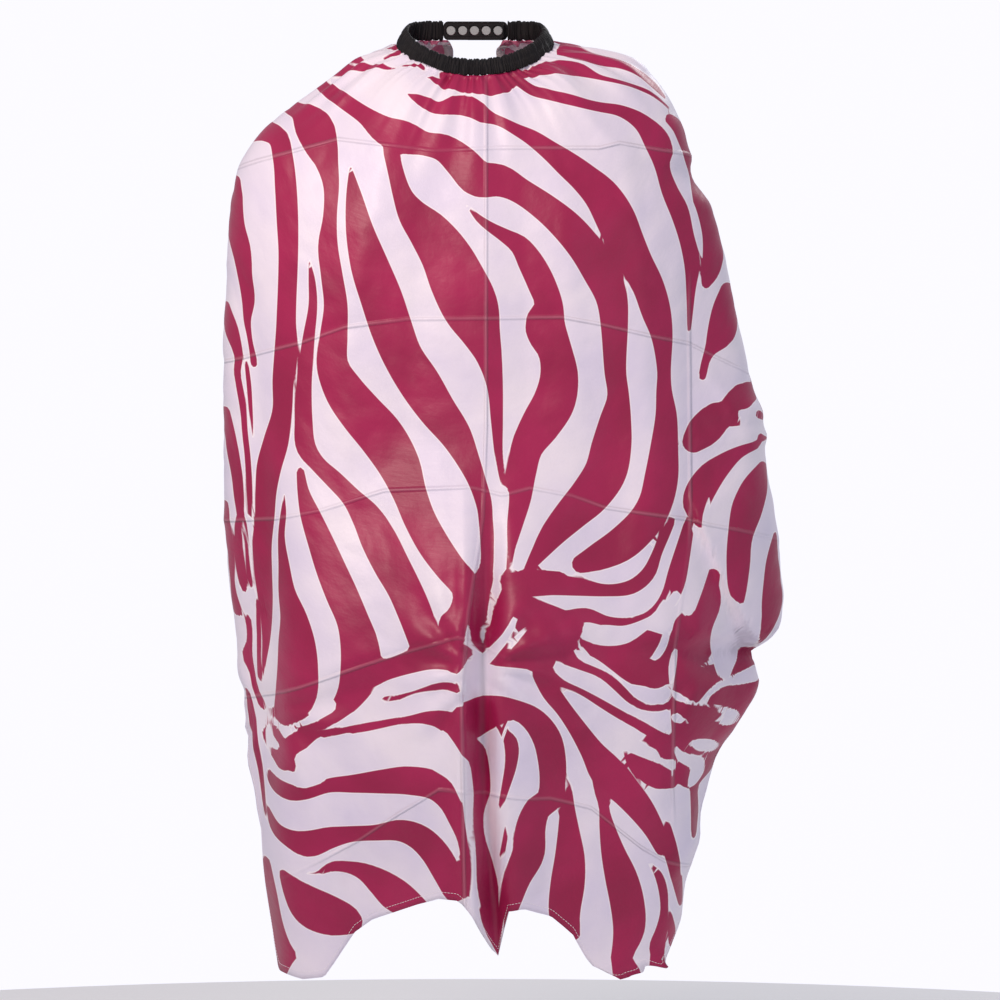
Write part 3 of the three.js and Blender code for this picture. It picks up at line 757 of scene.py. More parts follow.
def clothCoordinates(points):
    # across and down as a viewer in front sees them. Behind the edge of each side the pattern comes back,
    # running on along the cloth itself, and shears so that the two halves don't mirror each other.
    rows = np.arange(points.shape[0])
    step = np.linalg.norm(np.diff(points[..., :2], axis=1), axis=2)
    around = np.concatenate([np.zeros((points.shape[0], 1)), np.cumsum(step, axis=1)], axis=1)
    across, beyond = points[..., 0].copy(), np.zeros(around.shape)
    for side in (-1, 1):
        edge = np.argmax(points[..., 0] * side, axis=1)
        edgeAround = evened(around[rows, edge], turnBack["window"])[:, None]
        edgeAcross = np.array([np.interp(edgeAround[row], around[row], points[row, :, 0]) for row in rows])
        past = np.maximum((around - edgeAround) * side, 0)
        eased = past * mix(turnBack["slowest"], 1, smooth(0, turnBack["easing"], past))
        across = np.where(past > 0, edgeAcross - side * eased, across)
        beyond += past
    lengths = np.linalg.norm(np.diff(points, axis=0), axis=2)
    path = np.concatenate([np.zeros((1, points.shape[1])), np.cumsum(lengths, axis=0)])
    behind = smooth(turnBack["near"], turnBack["far"], beyond)
    length = turnBack["lengthStart"] + turnBack["lengthShare"] * path
    shear = turnBack["shear"] * beyond * np.exp(-(beyond / turnBack["shearReach"]) ** 2)
    return across, mix(-points[..., 2], length, behind) + shear, path


# Each stripe is a smooth line of varying width: (across, down, half width).
crimsonStripes = [
    [(-101, 0, 1), (-91, -2, 3), (-81, -3, 5)],
    [(-93, 12, .5), (-84, 10, 2), (-76, 7, 3)],
    [(-109, 14, .5), (-123, 12, 4), (-139, 17, 4), (-153, 23, 3)],
    [(-79, 22, .5), (-90, 22, 1.5), (-103, 20.5, 3), (-120, 21, 3.5), (-137, 24, 4), (-163, 35, 4)],
    [(-75, 21, .5), (-63, 21, 1.5), (-52, 23, 2)],
    [(-163, 35, 3), (-149, 43, 7), (-130, 56, 8), (-110, 70, 9), (-90, 85, 14), (-70, 92, 16), (-50, 98, 12),
     (-30, 103, 14), (-12, 118, 17), (3, 133, 18), (25, 135, 16), (45, 145, 13), (70, 162, 14), (92, 181, 16),
     (110, 202, 17), (125, 225, 18), (136, 250, 16), (139, 275, 14), (140, 325, 11), (143, 350, 11),
     (140, 375, 16), (136, 400, 20), (130, 425, 21), (115, 447, 20), (97, 465, 17), (78, 485, 13),
     (63, 505, 8), (50, 523, 3)],
    [(-84, 105, 8), (-79, 127, 8), (-72, 150, 10), (-62, 168, 15), (-45, 187, 21), (-29, 210, 25),
     (-17, 235, 28), (-5, 260, 28), (5, 285, 20), (14, 310, 13), (20, 340, 8), (22, 375, 6), (24, 410, 4),
     (29, 437, 3)],
    [(-197, 61, 3), (-175, 67, 10), (-162, 81, 19), (-155, 98, 17), (-149, 115, 12), (-144, 140, 8),
     (-145, 170, 7), (-147, 200, 10), (-143, 230, 11), (-139, 260, 12), (-141, 290, 14), (-142, 320, 16),
     (-130, 345, 20), (-113, 367, 22), (-93, 390, 23), (-76, 417, 21), (-65, 445, 17), (-55, 470, 16),
     (-41, 495, 16), (-25, 517, 15), (-9, 537, 14), (-12, 555, 11), (-20, 575, 14), (-30, 595, 14)],
    [(-225, 90, 8), (-213, 86, 10), (-198, 92, 10), (-193, 110, 10), (-190, 140, 11), (-188, 175, 11),
     (-187, 210, 10), (-189, 275, 10), (-189, 305, 12), (-192, 335, 11), (-193, 365, 10), (-199, 395, 13),
     (-206, 420, 13), (-209, 445, 11), (-210, 470, 10), (-213, 500, 10), (-212, 530, 9.5), (-210, 555, 8),
     (-209, 585, 5), (-211, 610, 3), (-213, 637, 1)],
    [(-166, 213, .5), (-163, 235, 3.5), (-162, 260, 4.5), (-166, 290, 6), (-169, 315, 7), (-171, 345, 8),
     (-171, 375, 9), (-169, 400, 10), (-157, 417, 8), (-141, 432, 9), (-123, 450, 10), (-107, 470, 15),
     (-95, 492, 18), (-83, 515, 18), (-70, 538, 17), (-60, 560, 17), (-53, 580, 16), (-50, 600, 12)],
    [(-174, 425, 4), (-171, 445, 6), (-164, 467, 10), (-153, 495, 13), (-143, 520, 15), (-132, 545, 16),
     (-121, 570, 16), (-114, 595, 19), (-113, 620, 20), (-123, 645, 14), (-143, 668, 8), (-163, 683, 8),
     (-181, 697, 11), (-189, 710, 11)],
    [(-150, 683, 4), (-120, 677, 3.5), (-90, 671, 3.5), (-65, 667, 3.5), (-45, 663, 5), (-27, 667, 9),
     (-13, 680, 11), (-6, 700, 6)],
    [(-90, 648, 2.5), (-67, 644, 3), (-45, 636, 3.5), (-28, 633, 4), (-17, 636, 4)],
    [(-110, 620, 20), (-90, 619, 11), (-65, 611, 11), (-40, 603, 14), (-17, 605, 14)],
    [(-239, 135, 5), (-241, 155, 8), (-241, 180, 10), (-235, 205, 10), (-232, 230, 8), (-229, 255, 7),
     (-230, 275, 4), (-227, 295, 2.5), (-223, 318, 4)],
    [(-253, 260, 4), (-246, 285, 7), (-240, 307, 5), (-240, 330, 3.5), (-235, 355, 3.5), (-232, 385, 3),
     (-228, 415, 3), (-226, 445, 3), (-225, 470, 2)],
    [(-231, 317, 2), (-228, 340, 2.5), (-226, 365, 2), (-223, 393, .5)],
    [(-253, 367, 5), (-246, 395, 6), (-240, 425, 6), (-236, 455, 5), (-234, 473, 3)],
    [(-251, 460, 4), (-247, 485, 4), (-244, 515, 3), (-242, 545, 2), (-239, 567, 5)],
    [(-236, 475, 3), (-237, 500, 4), (-235, 525, 4), (-232, 545, 3)],
    [(-229, 475, 1.5), (-228, 515, 2), (-226, 540, 3)],
    [(-229, 573, 3), (-228, 595, 3), (-231, 610, 5), (-225, 627, 3), (-220, 645, 3), (-213, 660, 4)],
    [(-219, 555, 2), (-218, 585, 2.5), (-218, 610, 2), (-216, 633, 2)],
    [(-229, 645, 2.5), (-224, 670, 4), (-219, 695, 3), (-215, 720, 2.5), (-212, 745, 2), (-209, 770, 1.5)],
    [(-190, 447, .5), (-191, 467, 3), (-193, 490, 3.5), (-190, 520, 6), (-187, 545, 9), (-180, 570, 14),
     (-177, 595, 19), (-176, 620, 21), (-178, 645, 21), (-187, 663, 14)],
    [(-125, 119, .5), (-121, 150, 8), (-115, 185, 14), (-105, 220, 19), (-93, 253, 21), (-83, 283, 21),
     (-72, 310, 20), (-55, 337, 21), (-38, 363, 19), (-20, 387, 16), (-8, 410, 12), (2, 433, 9),
     (9, 455, 8), (12, 480, 6), (13, 505, 6), (10, 535, 7)],
    [(-47, 33, 1), (-30, 37, 5), (-13, 37, 8), (5, 37, 11), (25, 37, 11), (40, 31, 6), (45, 27, 5)],
    [(-33, 29, 3), (-10, 30, 6), (15, 31, 8), (40, 26, 6)],
    [(43, 33, 5), (57, 43, 5), (77, 51, 5), (100, 56, 5), (125, 61, 5), (147, 65, 6), (168, 77, 9),
     (183, 97, 13), (189, 120, 9), (197, 145, 10), (207, 170, 10), (214, 195, 9), (218, 220, 8),
     (217, 245, 5), (215, 285, 2)],
    [(195, 73, 5), (205, 83, 7), (213, 107, 6), (219, 127, 4), (228, 155, 9), (235, 180, 10),
     (239, 205, 12), (237, 225, 10), (233, 238, 5)],
    [(88, 5, 6), (105, 8, 7), (125, 12, 6), (145, 16, 5), (165, 26, 4), (180, 39, 3), (191, 52, 1)],
    [(47, 27, 4), (65, 24, 6), (85, 23, 8), (105, 24, 6), (125, 31, 2.5), (165, 41, 2), (181, 50, 1.5),
     (195, 63, 1)],
    [(-66, 51, 1.5), (-50, 57, 6), (-33, 62, 7), (-15, 58, 10), (-2, 62, 10), (7, 68, 9), (22, 74, 5),
     (40, 83, 6), (57, 92, 8), (75, 105, 10), (93, 119, 13), (110, 133, 15), (127, 150, 18),
     (140, 172, 20), (150, 195, 19), (161, 217, 17), (173, 240, 16), (181, 265, 15), (187, 290, 11),
     (189, 325, 7), (189, 345, 8), (191, 370, 11), (189, 400, 14), (186, 430, 17), (180, 455, 17),
     (168, 475, 17), (147, 495, 17), (125, 507, 14), (105, 515, 9)],
    [(-9, 159, .5), (3, 172, 3.5), (15, 181, 5), (30, 190, 7), (45, 200, 10), (56, 217, 13), (66, 237, 14),
     (74, 260, 14), (70, 280, 20), (80, 305, 17), (84, 330, 19), (79, 355, 21), (66, 377, 20),
     (52, 400, 16), (47, 425, 14), (45, 450, 11), (40, 475, 8), (36, 500, 4), (33, 525, 2)],
    [(40, 540, 8), (70, 535, 10), (100, 537, 9), (130, 541, 6), (155, 538, 7), (172, 525, 7),
     (181, 505, 5), (189, 487, 5), (197, 473, 3)],
    [(30, 530, 6), (55, 528, 8), (85, 527, 5)],
    [(65, 580, 18), (85, 570, 9), (110, 565, 7), (130, 571, 5), (150, 572, 4), (170, 567, 4),
     (182, 557, 4), (189, 543, 3), (196, 523, 4), (205, 500, 5), (212, 477, 4)],
    [(50, 595, 10), (70, 590, 16), (85, 595, 14), (100, 605, 6)],
    [(115, 600, 4), (135, 610, 10), (160, 605, 22), (178, 620, 18)],
    [(237, 530, 8), (234, 535, 9), (233, 555, 13), (222, 577, 15), (219, 600, 16), (225, 645, 22),
     (240, 655, 22), (225, 690, 22), (215, 725, 14), (265, 655, 20), (275, 610, 10)],
    [(215, 485, 3), (209, 510, 5), (203, 535, 6), (197, 553, 4)],
    [(207, 563, 1), (201, 577, 4), (197, 595, 4), (194, 610, 2)],
    [(218, 740, 4), (219, 765, 4), (218, 787, 3)],
    [(191, 773, 3), (193, 793, 7), (198, 815, 6.5), (202, 835, 5), (205, 855, 2.5)],
    [(194, 860, 1), (196, 880, 4), (196, 895, 3)],
    [(173, 811, 1), (182, 823, 4), (187, 840, 4.5), (188, 860, 4), (185, 880, 6), (181, 895, 8),
     (182, 910, 6)],
    [(65, 623, 8), (75, 640, 9), (88, 657, 8), (102, 677, 9), (117, 700, 12), (131, 720, 17),
     (150, 740, 15), (165, 758, 13), (177, 777, 10), (185, 798, 6)],
    [(125, 735, 8), (128, 755, 5), (130, 770, 7), (137, 800, 12), (145, 825, 16), (151, 850, 17),
     (153, 875, 16), (148, 895, 12), (140, 915, 7), (138, 922, 5)],
    [(58, 615, 3), (70, 623, 8), (85, 631, 4), (105, 640, 3), (125, 652, 4), (145, 664, 4.5),
     (165, 675, 5), (180, 685, 6), (192, 697, 12)],
    [(163, 690, 1), (180, 693, 5), (195, 700, 9)],
    [(147, 699, 1), (160, 712, 8), (180, 725, 12), (195, 730, 8)],
    [(87, 610, 3), (105, 615, 4), (125, 623, 4), (140, 634, 5), (155, 649, 4), (172, 657, 3.5),
     (187, 656, 4), (196, 651, 3)],
    [(95, 728, .5), (92, 755, 7), (93, 780, 11), (94, 805, 15), (92, 830, 17), (89, 855, 16),
     (90, 870, 14), (97, 880, 8)],
    [(-3, 667, 20), (20, 657, 14), (40, 657, 10), (58, 667, 12), (71, 685, 14), (76, 705, 14),
     (77, 727, 13), (73, 747, 12), (62, 755, 13), (55, 775, 15), (53, 800, 16), (42, 823, 14),
     (37, 845, 10), (35, 855, 8)],
    [(28, 677, 4), (36, 690, 7), (36, 710, 6), (30, 735, 4), (25, 755, 2)],
    [(30, 769, 1), (30, 785, 3), (26, 805, 2)],
    [(3, 700, 9), (6, 720, 9), (7, 740, 8), (4, 760, 5), (5, 785, 5), (10, 810, 8), (13, 835, 10),
     (16, 855, 8), (22, 875, 6), (27, 893, 3)],
    [(5, 852, 2), (12, 870, 4), (19, 885, 5), (26, 901, 3)],
    [(9, 455, 7), (12, 485, 7), (12, 515, 6), (9, 545, 6), (5, 570, 6), (-3, 595, 5), (-10, 615, 3)],
    [(37, 545, 12), (30, 570, 9), (20, 595, 8)],
    [(-207, 725, 3), (-198, 736, 7), (-183, 742, 8), (-167, 742, 6), (-145, 734, 7), (-120, 732, 9),
     (-90, 729, 12), (-65, 727, 14), (-40, 731, 14), (-25, 745, 12), (-18, 765, 8), (-12, 785, 5),
     (-9, 810, 4), (-8, 840, 3)],
    [(-207, 761, 2), (-198, 779, 6), (-183, 788, 9), (-165, 792, 13), (-145, 786, 11), (-123, 782, 8),
     (-97, 780, 8), (-73, 777, 11), (-55, 783, 13), (-40, 797, 14), (-29, 815, 14), (-20, 835, 12)],
    [(-175, 817, 1), (-157, 821, 2), (-141, 814, 5), (-125, 815, 6), (-109, 820, 9), (-92, 831, 14),
     (-78, 842, 17), (-64, 850, 14), (-52, 854, 8)],
    [(-191, 823, 4), (-179, 839, 12), (-163, 855, 20), (-145, 863, 20), (-130, 867, 16), (-123, 870, 12)],
    [(-210, 815, 6), (-206, 845, 9), (-203, 875, 12), (-197, 900, 15), (-186, 917, 16), (-168, 926, 10),
     (-150, 922, 4)],
    [(255, 245, 8), (252, 265, 13), (248, 287, 14), (237, 305, 6), (231, 317, 4), (228, 331, 4)],
    [(280, 345, 8), (268, 352, 13), (255, 358, 8)],
    [(263, 379, 3), (247, 370, 13), (231, 383, 17), (219, 395, 12)],
    [(283, 400, 4), (265, 407, 6), (249, 418, 10), (233, 433, 14), (221, 455, 14), (225, 475, 6)],
    [(289, 423, 6), (280, 443, 14), (271, 463, 16), (263, 490, 12), (261, 520, 11), (261, 545, 8),
     (265, 557, 2)],
    [(300, 490, 2), (297, 513, 7), (296, 537, 10), (294, 560, 11), (289, 577, 7), (281, 593, 2)],
    [(285, 370, 4), (295, 376, 2)],
    [(287, 393, 4), (297, 395, 1.5)],
]
# broader fields of crimson where stripes run together
crimsonStripes += [
    [(-22, 572, 13), (-20, 597, 12), (-14, 620, 8)],
    [(-2, 578, 12), (30, 566, 19), (60, 570, 20), (92, 577, 15)],
    [(20, 600, 14), (45, 600, 16), (68, 608, 12)],
    [(108, 590, 5), (132, 604, 14), (158, 606, 27), (180, 610, 26)],
    [(205, 575, 8), (211, 600, 14), (213, 630, 18), (216, 660, 22), (216, 692, 20)],
    [(268, 636, 14), (258, 668, 17), (240, 692, 18), (224, 708, 14)],
    [(-203, 688, 10), (-192, 704, 12), (-178, 712, 10), (-163, 722, 5)],
    [(-205, 665, 4), (-175, 672, 5), (-140, 672, 6), (-100, 680, 6), (-60, 674, 6), (-30, 668, 9)],
]
# white lines that cut back into the crimson
whiteStripes = [
    [(-104, 641, 1.5), (-90, 637, 5), (-70, 635, 6), (-50, 627, 7), (-32, 623, 5), (-15, 626, 4)],
    [(-156, 678, 1.5), (-135, 674, 3), (-115, 666, 7), (-95, 661, 8), (-75, 657, 8), (-53, 650, 9),
     (-33, 645, 7), (-15, 649, 5)],
    [(-169, 710, 10), (-150, 708, 17), (-125, 703, 19), (-95, 697, 19), (-70, 692, 20), (-47, 692, 20),
     (-30, 705, 15), (-17, 723, 8), (-10, 745, 4)],
    [(-208, 703, 2), (-203, 718, 3.5), (-187, 725, 3), (-173, 728, 9), (-157, 721, 12)],
    [(-207, 680, 2), (-205, 692, 5), (-198, 698, 4)],
    [(-145, 655, 8), (-163, 669, 4), (-182, 677, 2.5), (-198, 680, 2), (-205, 673, 2)],
    [(108, 585, 4), (125, 585, 10), (147, 585, 9), (165, 577, 6), (180, 567, 4), (188, 553, 3)],
    [(97, 595, 1), (105, 605, 4), (117, 611, 4), (131, 619, 2.5), (143, 628, 2), (157, 639, 4),
     (173, 647, 5), (188, 650, 4)],
    [(169, 614, .5), (181, 605, 4), (188, 592, 4), (191, 575, 3.5), (193, 558, 5), (200, 547, 5)],
    [(199, 601, 2.5), (196, 617, 4), (195, 630, 2.5), (195, 645, 1)],
    [(249, 567, 5), (249, 587, 11), (247, 603, 8), (233, 616, 3), (220, 619, 1)],
    [(281, 629, 8), (265, 633, 6), (247, 636, 4), (233, 645, 3), (225, 653, 2)],
    [(200, 646, 4), (215, 653, 2.5), (233, 657, 2), (249, 663, 4), (260, 671, 6), (247, 675, 4),
     (236, 671, 1)],
    [(199, 667, 5), (207, 671, 3), (216, 674, .5)],
    [(215, 694, 3), (225, 696, 6), (237, 699, 6), (243, 699, 3)],
    [(199, 697, 2), (205, 707, 5), (215, 712, 6), (223, 717, 7), (218, 730, 6), (213, 737, 2)],
    [(196, 717, 1.5), (196, 728, 1)],
    [(203, 750, 5), (206, 770, 8), (207, 795, 4), (207, 825, 2.5)],
    [(201, 103, 1), (199, 118, 4), (206, 138, 4), (217, 160, 3.5), (224, 190, 4), (228, 213, 1)],
    [(23, 500, 4), (22, 530, 4), (17, 555, 3.5), (9, 583, 3), (-1, 603, 3), (-12, 623, 4)],
    [(40, 567, 3), (32, 583, 4), (20, 598, 5), (5, 615, 6), (-8, 630, 5)],
    [(54, 574, 1), (43, 585, 3), (33, 598, 2)],
    [(-1, 561, 1), (-5, 577, 3), (-9, 593, 3)],
    [(235, 500, 6), (222, 535, 7), (212, 560, 7)],
    [(234, 450, .5), (231, 470, 4), (229, 490, 3)],
]


# how far from a stripe its distance is still measured, the step along its line, how far down the print
# is drawn before it turns back up, and how many points across each square it is averaged over
printing = {"reach": 12, "step": 6, "lowest": 905, "parts": 3}


def nearestStroke(across, down, stripes):
    nearest = np.full(across.shape, float(printing["reach"]))
    for stripe in stripes:
        line = throughPoints(stripe, printing["step"])
        nearest = np.minimum(nearest, strokeDistance(across, down, line, printing["reach"]))
    return nearest


def stripeEdge(across, down):
    # distances from each point to the edge of the crimson and of the white lines, negative inside them
    down = np.where(down > printing["lowest"], 2 * printing["lowest"] - down, down)
    return np.stack([nearestStroke(across, down, stripes) for stripes in (crimsonStripes, whiteStripes)])


def printedStripes(across, down):
    # the mean of a small block of points round each vertex, so that a thin line doesn't break into beads
    parts, total = printing["parts"], 0
    shares = (np.arange(parts) - (parts - 1) / 2) / parts
    rowStep = [np.gradient(field, axis=0) for field in (across, down)]
    columnStep = [np.gradient(field, axis=1) for field in (across, down)]
    for i in shares:
        for j in shares:
            place = [field + i * r + j * c for field, r, c in zip((across, down), rowStep, columnStep)]
            total = total + stripeEdge(*place)
    return total / parts ** 2


def shapeFrontHem(points, azimuth, down):
    # lowers or lifts the front so that its edge follows the hem's own line
    edgeX, edgeZ = points[-1, :, 0], points[-1, :, 2]
    table = np.array(frontHem, float)
    wanted = np.interp(edgeX, table[:, 0], table[:, 1])
    inside = (1 - smooth(cape["hemFrom"], cape["hemTo"], np.abs(edgeX))) * (np.cos(azimuth[-1]) > 0)
    points[..., 2] += ((wanted - edgeZ) * inside)[None, :] * down ** cape["hemPower"]


def setFields(mesh, fields):
    for name, field in fields.items():
        mesh.attributes.new(name, "FLOAT", "POINT").data.foreach_set("value", field.ravel())


def makeCape():
    points, azimuth, down = drape()
    shapeFrontHem(points, azimuth, down)
    matchOutline(points, leftOutline, -1)
    matchOutline(points, rightOutline, 1)
    across, drop, path = clothCoordinates(points)
    stripe = printedStripes(across, drop)
    print("print laid out")
    # in front the relief stands straight out towards the viewer, and round the sides and just below the
    # band it follows the cloth
    aroundSide = smooth(52 * degree, 80 * degree, np.abs(azimuth))
    nearBand = 1 - smooth(30, 90, path)
    straight = np.array([0.0, -1.0, 0.0])
    outward = unit(mix(straight, normalsOf(points), np.maximum(aroundSide, nearBand)[..., None]))
    folds, kind = foldFields(points, azimuth)
    height = relief(points, azimuth, path, folds, kind)
    sinkPleat(points, azimuth)
    points = points + outward * height[..., None]
    rows, columns = points.shape[:2]
    faces = facesWithPrint(rows, columns, np.maximum(stripe[0], -stripe[1])).tolist()
    piece = finishPiece("printed_cape", points.reshape(-1, 3), faces, [satinOutside, satinInside],
                        "cape")
    mesh = piece.data
    setFields(mesh, {"stripe": stripe[0], "plainLine": stripe[1], **folds})
    uv = np.stack([across / cloth["width"] + 0.5, 1 - path / cloth["length"]], axis=-1)
    corner = np.empty(len(mesh.loops), dtype=np.int32)
    mesh.loops.foreach_get("vertex_index", corner)
    mesh.uv_layers.new(name="cloth").data.foreach_set("uv", uv.reshape(-1, 2)[corner].ravel())
    wall = piece.modifiers.new("wall", "SOLIDIFY")
    wall.thickness = cape["thickness"] * metre
    wall.offset = -1
    wall.material_offset = 1
    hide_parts("cape_panel")
    return piece, points


def edgePath(points, inset):
    # down the left back edge, along the hem and up the right back edge, a given way in from the edge
    def between(edge, second, third):
        first = np.linalg.norm(second - edge, axis=1, keepdims=True)
        rest = np.linalg.norm(third - second, axis=1, keepdims=True)
        near = edge + (second - edge) * inset / first
        return np.where(first > inset, near, second + (third - second) * (inset - first) / rest)
    left = between(points[:, 0], points[:, 1], points[:, 2])
    bottom = between(points[-1], points[-2], points[-3])
    right = between(points[:, -1], points[:, -2], points[:, -3])
    trim = 2
    return np.concatenate([left[4:-trim], bottom[trim:-trim], right[-trim - 1:3:-1]])


def makeHem(points):
    # the turned edge on the inside: a flat loop of cloth swept along the edge, and its row of stitches
    away = edgePath(normalsOf(points), 0.0)
    edge, top = edgePath(points, 0.25), edgePath(points, cape["hemWidth"])
    below, depth = cape["hemBelow"], cape["hemDepth"]
    section = [(0.0, below), (0.55, below), (1.0, below), (1.02, below + depth / 2), (1.0, below + depth),
               (0.55, below + depth), (0.0, below + depth), (-0.03, below + depth / 2)]
    rows = [mix(edge, top, share) - away * sunk for share, sunk in section]
    hem = tubePiece("turned_hem", np.stack(rows), satinInside, "cape")
    mesh = hem.data
    # far from every stripe and fold, so the hem is plain
    plain = np.full(len(mesh.vertices), 9.0)
    setFields(mesh, dict.fromkeys(("stripe", "plainLine", "foldDown", "foldAcross"), plain))
    mesh.uv_layers.new(name="cloth")
    path = edgePath(points, cape["hemStitchInset"])
    at, lengths = evenPlaces(path, hemStitch["pitch"])
    normals = unit(resample(away, lengths, at))
    run = resample(path, lengths, at) + normals * 0.1
    stitches = stitchRun("hem_stitching", run, normals, hemStitch, hemThread, "cape")
    return hem, stitches


capePiece, capePoints = makeCape()
hemPiece, hemStitches = makeHem(capePoints)
print("cape made")

ruche = {
    "columns": 1700, "around": 30, "gathers": 104, "thickness": 6.2, "height": 20.2,
    "pucker": 0.34, "edgeRuffle": 1.1, "slant": 0.9, "rowDepth": 0.2, "endShare": 0.012,
}
casingEnd = azimuthAtBack(neck["rootHalfGap"], neck["halfWidth"], neck["backPower"])


def makeNeckband():
    # a flattened tube swept round the neckline; its thickness and height swell between the puckers,
    # which wander and lean a little, so no two are the same
    azimuth = np.linspace(-casingEnd, casingEnd, ruche["columns"])[None, :]
    turn = (np.arange(ruche["around"]) * 2 * math.pi / ruche["around"])[:, None]
    middle = bandPoint(azimuth, neck["bandHeight"] / 2)
    up, out = bandAxes(azimuth)
    wander = 1.9 * np.sin(9 * azimuth) + 1.3 * np.sin(23 * azimuth + 1) + 0.9 * np.sin(41 * azimuth + 2)
    rise = np.sin(turn)
    lengths = np.cumsum(np.linalg.norm(np.diff(middle[0], axis=0), axis=1))
    arc = np.concatenate([[0], lengths])[None, :] / lengths[-1]
    phase = 2 * math.pi * ruche["gathers"] * arc + wander + ruche["slant"] * rise * np.sin(13 * azimuth)
    upper = np.abs(np.cos(phase / 2)) ** 0.7
    lower = np.abs(np.cos(phase * 0.81 + 0.9 + 0.6 * np.sin(19 * azimuth))) ** 0.8
    second = np.abs(np.cos(phase * 0.97 + 0.7)) ** 0.8
    puff = mix(upper, lower, smooth(-0.15, 0.15, rise) * (np.cos(turn) > 0))
    row = np.exp(-(rise / 0.1) ** 2) * (np.cos(turn) > 0)
    swell = 1 - ruche["pucker"] * (1 - puff) - 0.12 * (1 - second) - ruche["rowDepth"] * row
    ends = smooth(0, ruche["endShare"], arc) * smooth(0, ruche["endShare"], 1 - arc)
    thick = ruche["thickness"] / 2 * swell * mix(0.55, 1, ends)
    uneven = np.sin(phase * 0.5) + 0.6 * np.sin(phase * 0.23 + 1)
    tall = ruche["height"] / 2 - ruche["edgeRuffle"] * (1 - puff) + 0.5 * uneven * np.abs(rise)
    points = (middle + out * (thick * signedPower(np.cos(turn), 0.75))[..., None]
              - up * (tall * signedPower(rise, 0.85))[..., None])
    piece = tubePiece("ruched_neckband", points, bandSatin, "cape")
    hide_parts("neckband_casing")
    return piece


neckband = makeNeckband()

ribs = {"columns": 420, "rows": 43, "thickness": 1.5, "height": 15, "ribs": 7, "ribDepth": 0.16,
        "endInset": 1.2}


def makeElastic():
    # a flat ribbed strip inside the casing, the ribs running along it
    inset = ribs["endInset"] / neck["halfWidth"]
    azimuth = np.linspace(-casingEnd + inset, casingEnd - inset, ribs["columns"])[None, :]
    middle = bandPoint(azimuth, neck["bandHeight"] / 2)
    up, out = bandAxes(azimuth)
    share = np.linspace(-1, 1, ribs["rows"])
    wave = ribs["ribDepth"] * (np.cos(share * math.pi * ribs["ribs"]) - 1)
    face = ribs["thickness"] / 2 * (1 - np.abs(share) ** 12) ** 0.5 + wave * (np.abs(share) < 0.98)
    across = np.concatenate([face, -face[-2:0:-1]])[:, None]
    height = np.concatenate([share, share[-2:0:-1]])[:, None] * ribs["height"] / 2
    points = middle + out * across[..., None] - up * height[..., None]
    piece = tubePiece("knitted_elastic", points, elasticKnit, "cape")
    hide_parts("neckband_elastic")
    return piece


elastic = makeElastic()
print("neckband made")

tab = {"columns": 96, "rows": 44, "corner": 5, "edgeRoll": 0.9, "stitchInset": 2.6, "stitchDip": 0.22,
       "puff": 0.12, "underPost": 0.42, "faceGap": 0.004}
tabStitch = {"pitch": 2.2, "length": 1.9, "radius": 0.22, "sides": 6}
postFlange = 4.75


def makeTab(node, name, body, posts=()):
    # two faces of a rounded rectangle that meet at a rolled edge; the cloth dips along its stitching
    # and lies deeper under each post's flange
    low, high = (np.array(corner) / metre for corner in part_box(node))
    half = (high - low) / 2
    centre = (high + low) / 2
    u = np.sin(np.linspace(-1, 1, tab["columns"]) * math.pi / 2)[None, :]
    v = np.sin(np.linspace(-1, 1, tab["rows"]) * math.pi / 2)[:, None]
    corner = tab["corner"]
    fromEnd = np.minimum(half[0] * (1 - np.abs(u)), corner)
    extent = half[2] - corner + np.sqrt(np.maximum(corner ** 2 - (corner - fromEnd) ** 2, 0))
    x = half[0] * u + 0 * v
    z = extent * v
    gap = np.minimum(half[0] - np.abs(x), extent - np.abs(z))
    rolled = np.sqrt(np.clip(1 - (1 - np.clip(gap / tab["edgeRoll"], 0, 1)) ** 2, 0, 1))
    dip = tab["stitchDip"] * np.exp(-((gap - tab["stitchInset"]) / 0.7) ** 2)
    puffed = tab["puff"] * np.sin(x / 3.1 + 0.6 * np.sin(z / 2)) * np.exp(-((gap - 4) / 3) ** 2)
    outer = half[1] * rolled - (dip + np.abs(puffed)) * rolled
    inner = half[1] * rolled - dip * rolled
    for postX, postZ in posts:
        near = np.hypot(x + centre[0] - postX, z + centre[2] - postZ)
        beyond = smooth(postFlange + 0.1, postFlange + 0.5, near)
        inner = mix(-half[1] + tab["underPost"], inner, beyond)
    faceGap = tab["faceGap"]
    front = np.stack([x, np.maximum(outer, faceGap), z], axis=-1)
    back = np.stack([x, -np.maximum(inner, faceGap - 2 * half[1]), z], axis=-1)
    number = np.arange(x.size).reshape(x.shape)
    faces = gridFaces(*x.shape)
    rim = np.concatenate([number[0, :-1], number[:-1, -1], number[-1, :0:-1], number[:0:-1, 0]])
    after = np.roll(rim, -1)
    sides = np.stack([rim, after, after + x.size, rim + x.size], axis=1)
    points = np.concatenate([front.reshape(-1, 3), back.reshape(-1, 3)]) + centre
    allFaces = np.concatenate([faces, faces[:, ::-1] + x.size, sides]).tolist()
    piece = finishPiece(name, points, allFaces, [tabSatin], body)
    made = bmesh.new()
    made.from_mesh(piece.data)
    bmesh.ops.recalc_face_normals(made, faces=made.faces)
    made.to_mesh(piece.data)
    made.free()
    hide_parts(node)
    return piece, low, high


